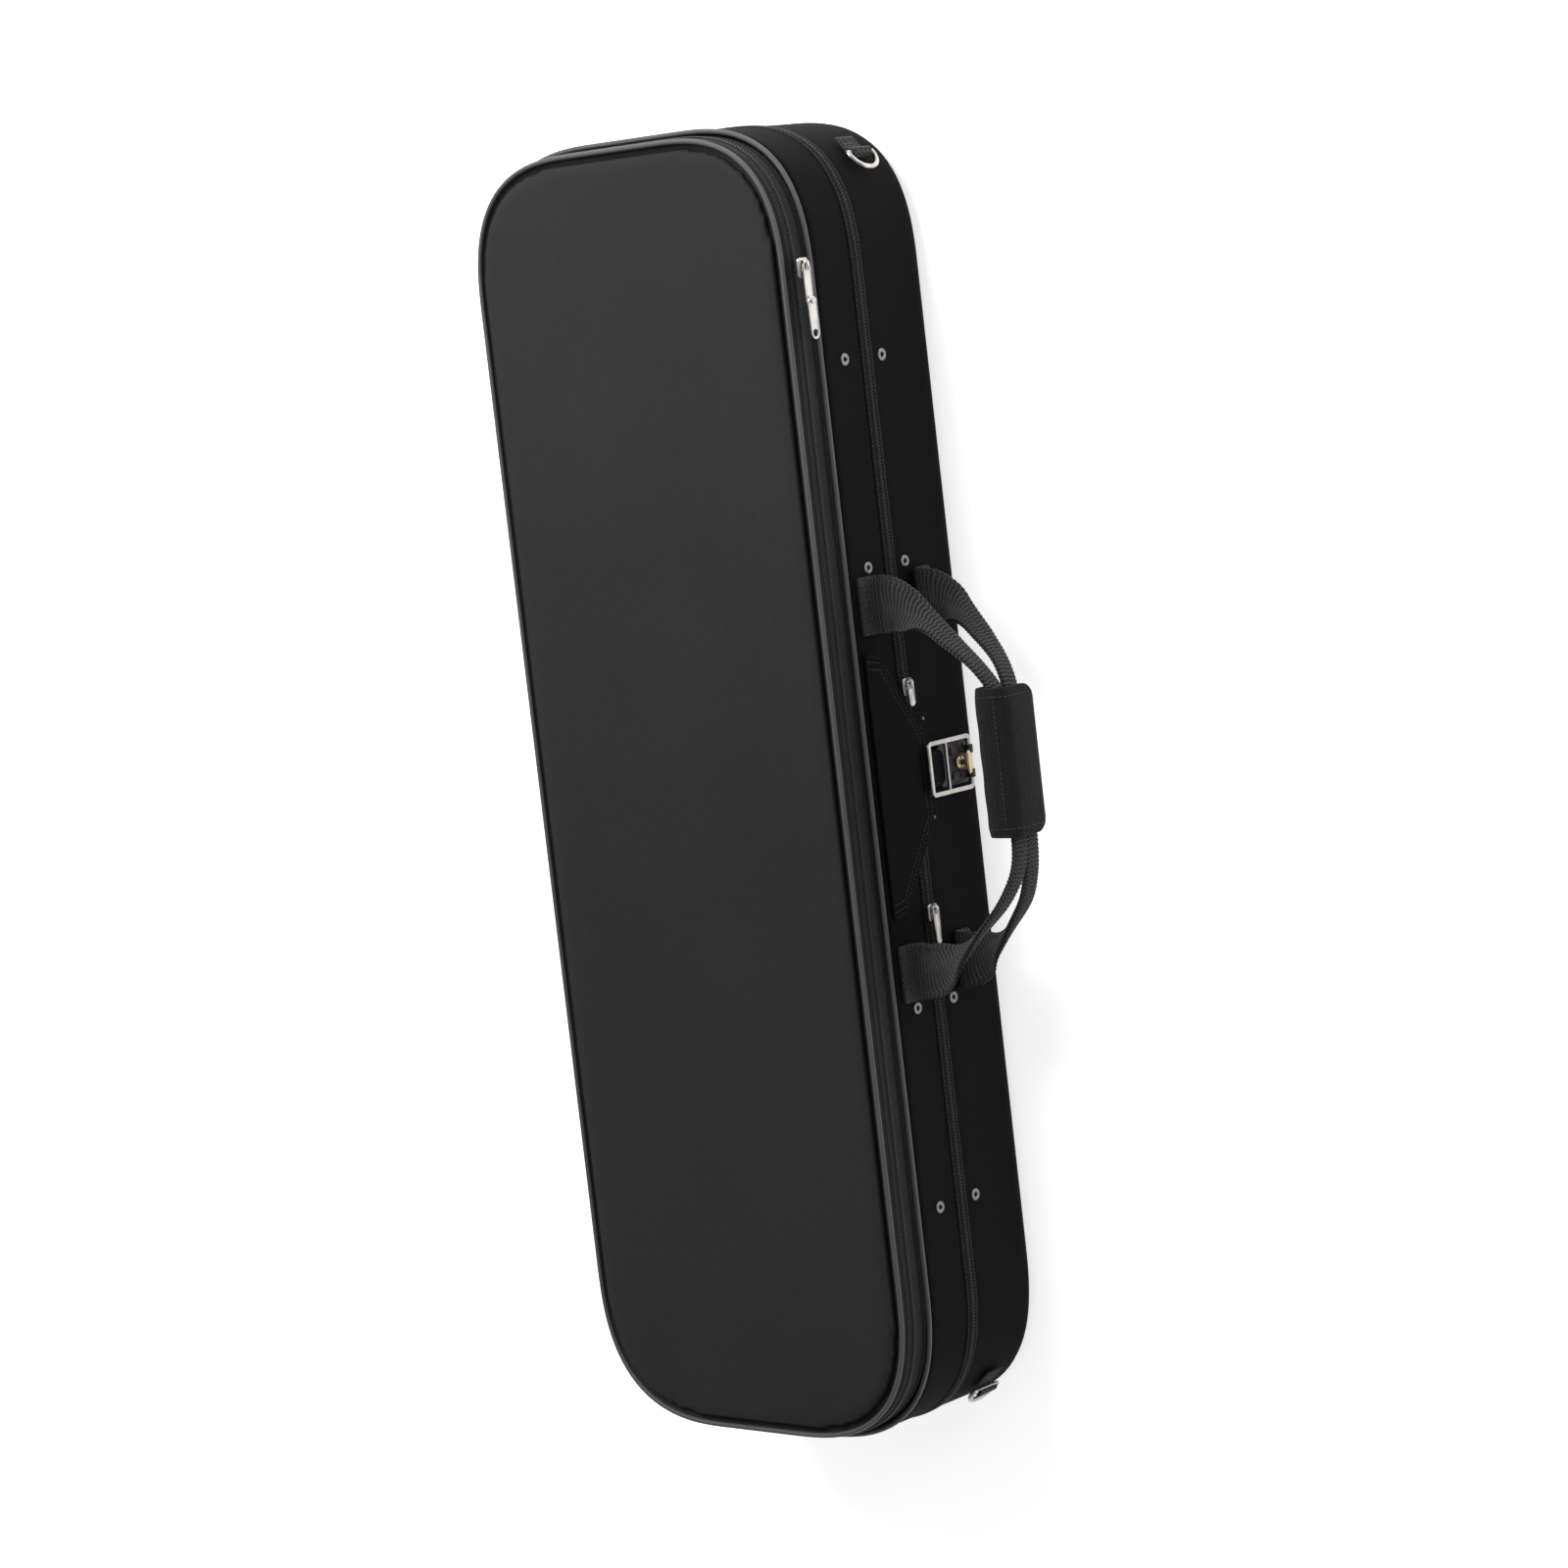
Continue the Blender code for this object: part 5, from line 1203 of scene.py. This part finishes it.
for number, (sx, sz) in enumerate(((-1, -1), (1, -1)), 1):
    spot = plate_middle + (sx * (plate_size[0] / 2 - 0.0028), -plate_size[1] / 2,
                           sz * (plate_size[2] / 2 - 0.0028))
    head = np.array([(0.0, 0.0006), (0.0005, 0.00055), (0.0010, 0.0003), (0.0012, 0.0), (0.0012, -0.0004),
                     (0.0, -0.0004)])
    piece(f"lock_plate_pin_{number}", [turned(head, spot, -Y_AXIS, X_AXIS, 16)], STEEL, "base")
knob_low, knob_high = box_of("turn_knob")
knob_middle = (knob_low + knob_high) / 2
depth = knob_high[1] - knob_low[1]
radius = 0.0034
knob_rows = np.array([   # depth share, width scale, height scale
    (0.00, 1.00, 1.00), (0.02, 1.10, 1.10), (0.10, 1.10, 1.10), (0.15, 0.85, 0.85), (0.20, 0.60, 0.60),
    (0.45, 0.52, 0.52), (0.66, 0.55, 0.55), (0.71, 1.30, 0.55), (0.76, 1.85, 0.66), (0.84, 2.15, 0.72),
    (0.93, 2.05, 0.66), (0.985, 1.60, 0.46), (1.0, 1.2, 0.3)])
fine_rows = sample(np.linspace(0, 12, 49), np.arange(13), knob_rows)
knob_path = rows_of(knob_middle[0], knob_high[1] - depth * fine_rows[:, 0], knob_middle[2])
knob_section = circle(radius, 32)[None] * fine_rows[:, None, 1:]
piece("knob_turned", [carried(knob_path, X_AXIS, Z_AXIS, knob_section)], BRASS, "knob", ["turn_knob"],
      sharp=50)


# %% Zip sliders and their pulls
def slider_body(low, high):
    """A waisted block: one outline, pulled in at the middle and scaled along its depth."""
    size, middle = high - low, (low + high) / 2
    outline = rounded_box(size[0], size[2], 0.0018, 6)
    waist = 1 - 0.10 * np.exp(-(outline[:, 0] / (size[0] * 0.22)) ** 2)
    outline = np.column_stack([outline[:, 0], outline[:, 1] * waist])
    share = np.array([0.5, 0.35, 0.1, -0.2, -0.38, -0.47, -0.5])
    scale = np.array([0.94, 1.0, 1.0, 1.0, 0.96, 0.88, 0.74])
    path = rows_of(middle[0], middle[1] + size[1] * share, middle[2])
    return carried(path, X_AXIS, Z_AXIS, outline * scale[:, None, None])


def bridge(x, y, z, reach_out, over=0.0043):
    """The small arch that the pull's eye hangs on."""
    turn = np.radians(np.linspace(0, 180, 15))
    arch = rows_of(x + over / 2 - over / 2 * np.cos(turn), y - reach_out * np.sin(turn) ** 0.7, z)
    return bar(arch, circle(0.0007, 12) * (1.2, 2.2), Z_AXIS)


for number in (1, 2):
    low, high = box_of(f"closure_slider_{number}")
    pull_low, pull_high = box_of(f"closure_pull_{number}")
    x, z = (low[0] + high[0]) / 2, (low[2] + high[2]) / 2
    pull_y = (pull_low[1] + pull_high[1]) / 2
    parts = [slider_body(low, high), bridge(x, low[1] + 0.0003, z, low[1] - pull_y + 0.0016)]
    piece(f"closure_slider_cast_{number}", parts, NICKEL, f"zip_slider_{number}",
          [f"closure_slider_{number}"], sharp=60)
    length, wide = pull_high[0] - pull_low[0], (pull_high[2] - pull_low[2]) / 2
    outline = pull_outline(length - wide, wide, wide * 0.86)
    piece(f"closure_pull_plate_{number}",
          [plate(outline, np.zeros(2), wide * 0.42, pull_high[1] - pull_low[1],
                 (pull_high[0] - wide, pull_y, z), X_AXIS, Z_AXIS, -0.0, 0.00025)], NICKEL,
          f"zip_pull_{number}", [f"closure_pull_{number}"], sharp=50)

low, high = box_of("pocket_slider")
pull_low, pull_high = box_of("pocket_pull")
link_low, link_high = box_of("pocket_pull_link")
x, z = (low[0] + high[0]) / 2, (low[2] + high[2]) / 2
pull_y, link_y = (pull_low[1] + pull_high[1]) / 2, (link_low[1] + link_high[1]) / 2
piece("pocket_slider_cast",
      [slider_body(low, high), bridge(x, low[1] + 0.0003, z, low[1] - pull_y + 0.0016)], NICKEL,
      "pocket_zip_slider", ["pocket_slider"], sharp=60)
wide = (pull_high[2] - pull_low[2]) / 2
piece("pocket_pull_plate",
      [plate(pull_outline(pull_high[0] - pull_low[0] - wide, wide, wide * 0.84), np.zeros(2), wide * 0.42,
             pull_high[1] - pull_low[1], (pull_high[0] - wide, pull_y, z), X_AXIS, Z_AXIS, 0.0, 0.0003)],
      NICKEL, "pocket_zip_pull", ["pocket_pull"], sharp=50)
link_wide = (link_high[2] - link_low[2]) / 2
link_length = link_high[0] - link_low[0]
joint_x = link_high[0] - link_wide
tail_x = link_low[0] + link_wide
link_outline = pull_outline(link_length - link_wide, link_wide, link_wide)
link_plate = plate(link_outline, np.array([tail_x - joint_x, 0.0]), link_wide * 0.56,
                   link_high[1] - link_low[1], (joint_x, link_y, z), X_AXIS, Z_AXIS, 0.0, 0.00028)
pin = np.array([(0.0, 0.0006), (0.0007, 0.00055), (0.0012, 0.0002), (0.0013, -0.0001), (0.0013, -0.0012),
                (0.0, -0.0012)])
piece("pocket_link_plate",
      [link_plate, turned(pin, np.array([joint_x, link_low[1], z]), -Y_AXIS, X_AXIS, 18)], NICKEL,
      "pocket_zip_link", ["pocket_pull_link"], sharp=50)

# %% [markdown]
# ## Rings for a shoulder strap
# Each ring is a wire bent to a D, whose straight side lies in a loop of webbing that is sewn to the wall.
# The ring's place comes from its joint in the frame; the way it hangs is listed for each ring, and the way the
# wall faces follows from the two.

# %% D-rings and their tabs
RING_WIRE, RING_HALF, RING_DROP = 0.0015, 0.0110, 0.0120
for name, hang in (("head", (-0.78065, -0.62496, 0.0)), ("foot", (-0.65869, 0.75241, 0.0))):
    hang = np.array(hang)
    joint = next(j for j in frame["joints"] if j["name"] == f"ring_{name}_swing")
    pivot = np.array(joint["pos_m"], float)
    outward = np.cross(hang, Z_AXIS)
    outward = outward if outward @ (pivot * (1, 1, 0)) > 0 else -outward
    turn = np.radians(np.linspace(0, 180, 33))
    bow = pivot + np.outer(RING_DROP * np.sin(turn) ** 0.85, hang) + np.outer(RING_HALF * np.cos(turn),
                                                                              Z_AXIS)
    straight = pivot + np.outer(np.linspace(-RING_HALF, RING_HALF, 13)[1:-1], Z_AXIS)
    loop = np.vstack([bow, straight])
    piece(f"ring_{name}_wire", [bar(loop, circle(RING_WIRE, 14), outward, loop=True)], NICKEL,
          "ring_" + name, ["d_ring_" + name])
    roll = RING_WIRE + 0.0012
    angle = np.radians(np.linspace(-90, 150, 22))
    curl = pivot + np.outer(roll * np.cos(angle), hang) + np.outer(roll * np.sin(angle), outward)
    flat_part = pivot + np.outer(-np.linspace(0.0148, 0.0006, 12), hang) - roll * outward
    strip = np.vstack([flat_part, curl])
    ahead = unit(np.gradient(strip, axis=0))
    tab_section = oval(0.016, 0.0012)
    sewn = [pivot - s * hang + (0, 0, k) - outward * (roll - 0.0008) for s,
            k in ((0.0045, -0.006), (0.0045, 0.006), (0.0125, 0.006), (0.0125, -0.006), (0.0045, -0.006))]
    piece(f"ring_{name}_tab", [carried(strip, Z_AXIS, np.cross(ahead, Z_AXIS), tab_section)], WEBBING,
          "base", [f"d_ring_{name}_tab"])
    piece(f"ring_{name}_tab_stitches", [path_seam(sewn, outward)], THREAD_BLACK, "base")
print("rings hang from", [round(float(v), 4) for v in pivot])

# %% [markdown]
# ## Hinges
# Two leaf hinges join base and lid at the back. Leaves and pins keep the frame's own shape, which is
# already right; they get a plated finish, and the leaves get round rivet heads.

# %% Hinge finish and rivets
def refinish(node, finish):
    """Give a CAD node that stays in sight its finish."""
    node.data.materials.clear()
    node.data.materials.append(finish)


for number in (1, 2):
    for half in ("lid", "base"):
        leaf = frame["nodes"][f"hinge_{half}_leaf_{number}"]
        refinish(leaf, AGED)
        low, high = box_of(leaf.name)
        z = high[2] - 0.0040 if half == "lid" else low[2] + 0.0040
        face = HALF_Y + 0.0004 + 0.0003 + 0.0012
        head = np.array([(0.0, 0.0008), (0.0008, 0.0007), (0.0015, 0.0004), (0.0018, 0.0),
                         (0.0018, -0.0003), (0.0, -0.0003)])
        heads = [turned(head, np.array([x, face, z]), Y_AXIS, X_AXIS,
                        18) for x in np.linspace(low[0] + 0.006, high[0] - 0.006, 3)]
        piece(f"hinge_{half}_rivets_{number}", heads, NICKEL, half)
    refinish(frame["nodes"][f"hinge_pin_{number}"], AGED)

# %% [markdown]
# ## Inside the case
# Foam blocks covered with plush hold the violin. Their plan is already in the frame, so each one is a
# copy of its node with merged corners, rounded along every edge by a bevel, because plush over foam has
# no sharp edge.

# %% Rounded foam pieces
def softened(node, name, finish, body, width, segments=4):
    """A copy of a CAD node with its triangles merged to faces and its edges rounded."""
    made = bmesh.new()
    made.from_mesh(frame["nodes"][node].data)
    bmesh.ops.remove_doubles(made, verts=made.verts, dist=2e-6)
    bmesh.ops.dissolve_limit(made, angle_limit=math.radians(2), verts=made.verts, edges=made.edges)
    mesh = bpy.data.meshes.new(name)
    made.to_mesh(mesh)
    made.free()
    obj = bpy.data.objects.new(name, mesh)
    rounding = obj.modifiers.new("rounding", "BEVEL")
    rounding.width, rounding.segments, rounding.limit_method = width, segments, "ANGLE"
    rounding.angle_limit = math.radians(35)
    rounding.harden_normals = True
    return dress(obj, finish, body, [node], sharp=40)


for node, width in (("violin_cradle_rear", 0.0030), ("violin_cradle_front", 0.0030),
                    ("accessory_box", 0.0022), ("neck_rest", 0.0016)):
    foam = softened(node, node + "_plush", PLUSH, "base", width)
box_lid = softened("accessory_lid", "accessory_lid_plush", PLUSH, "accessory_box_lid", 0.0008)
for number in (1, 2):
    softened(f"bow_clip_{number}", f"bow_clip_turned_{number}", STEEL, f"bow_turn_{number}", 0.0006,
             3)
    holder = softened(f"bow_tip_holder_{number}", f"bow_tip_pocket_{number}", PLUSH, "lid", 0.0008,
                      3)

# %% Neck strap and the accessory lid's tab
low, high = box_of("neck_strap")
across_y = np.linspace(low[1], high[1], 31)
strap_mid = (low + high) / 2
bow_up = 0.0004 * np.cos(np.pi * np.linspace(-0.5, 0.5, 31))
strap_path = rows_of(strap_mid[0], across_y, strap_mid[2] + bow_up)
neck_section = oval(high[0] - low[0], high[2] - low[2])
neck_band = [carried(strap_path, X_AXIS, Z_AXIS, neck_section)]
piece("neck_strap_webbing", neck_band, WEBBING, "neck_band", ["neck_strap"])
lid_low, lid_high_corner = box_of("accessory_lid")
tab_x, tab_z = (lid_low[0] + lid_high_corner[0]) / 2, (lid_low[2] + lid_high_corner[2]) / 2
tab_path = rows_of(tab_x, np.linspace(lid_high_corner[1] - 0.001, lid_high_corner[1] + 0.0060, 9), tab_z)
tab_section = oval(0.015, 0.0012)
piece("accessory_lid_pull", [carried(tab_path, X_AXIS, Z_AXIS, tab_section)], WEBBING, "accessory_box_lid")

# %% [markdown]
# ## Cloth that is cut flat
# The covers, the gusset and the flap are cut from flat cloth and drawn tight over what they cover. A table
# lists the size that each is cut to; tapes and strips narrower than a finger's width are left out of it.

# %% Cut sizes of the sheets
round_case = float(AROUND[-1])
cut = [("base_side_cloth", (split_z, round_case), "base_board"),
       ("lid_side_cloth", (2 * HALF_Y + lid_high - split_z, 2 * HALF_X + lid_high - split_z), "lid_board"),
       ("gusset_lower_tape", (lower_high - lower_low, round_case), "lid_edge_cord"),
       ("flap_cloth", (flap_high[2] - flap_low[2], flap_high[0] - flap_low[0]), "lid_side_cloth")]
# The flap is a trapezium, so its area is a share of its rectangle.
FLAP_SHARE = 0.58
flap_area = FLAP_SHARE * (flap_high[2] - flap_low[2]) * (flap_high[0] - flap_low[0])
for name, flat, under in cut:
    flap_area if name == "flap_cloth" else None
print("sheets declared:", len(cut))

# %% [markdown]
# ## Floor and the model's size
# The floor is a plain pale sheet far larger than the picture. The last lines print the size of the model
# after dressing.

# %% Floor, sizes and finish
floor_mesh = bpy.data.meshes.new("floor")
FLOOR_REACH, FLOOR_DROP, GLOW = 40, 0.0002, 0.68
reach = np.linspace(-FLOOR_REACH, FLOOR_REACH, 3)
floor_points = np.stack(np.meshgrid(reach, reach, [-FLOOR_DROP], indexing="ij"), -1).reshape(3, 3, 3)
floor_part = grid(floor_points, reach, reach)
floor_mesh.from_pydata(floor_part[0].tolist(), [], floor_part[1].tolist())
floor = bpy.data.objects.new("floor", floor_mesh)
bpy.context.scene.collection.objects.link(floor)
pale = Finish("pale_floor", Roughness=0.9, Specular_IOR_Level=0.1, Emission_Color=(1.0, 1.0, 1.0, 1.0),
              Emission_Strength=GLOW)
floor_mesh.materials.append(pale.feed(Base_Color=pale.mix(pale.noise(pale.place(), 3.0, 2.0),
                                                          (0.90, 0.90, 0.90), (0.94, 0.94, 0.94))))
floor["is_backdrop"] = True

low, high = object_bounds()
print("model size (mm):", [round(1000 * (b - a), 1) for a, b in zip(low, high)])
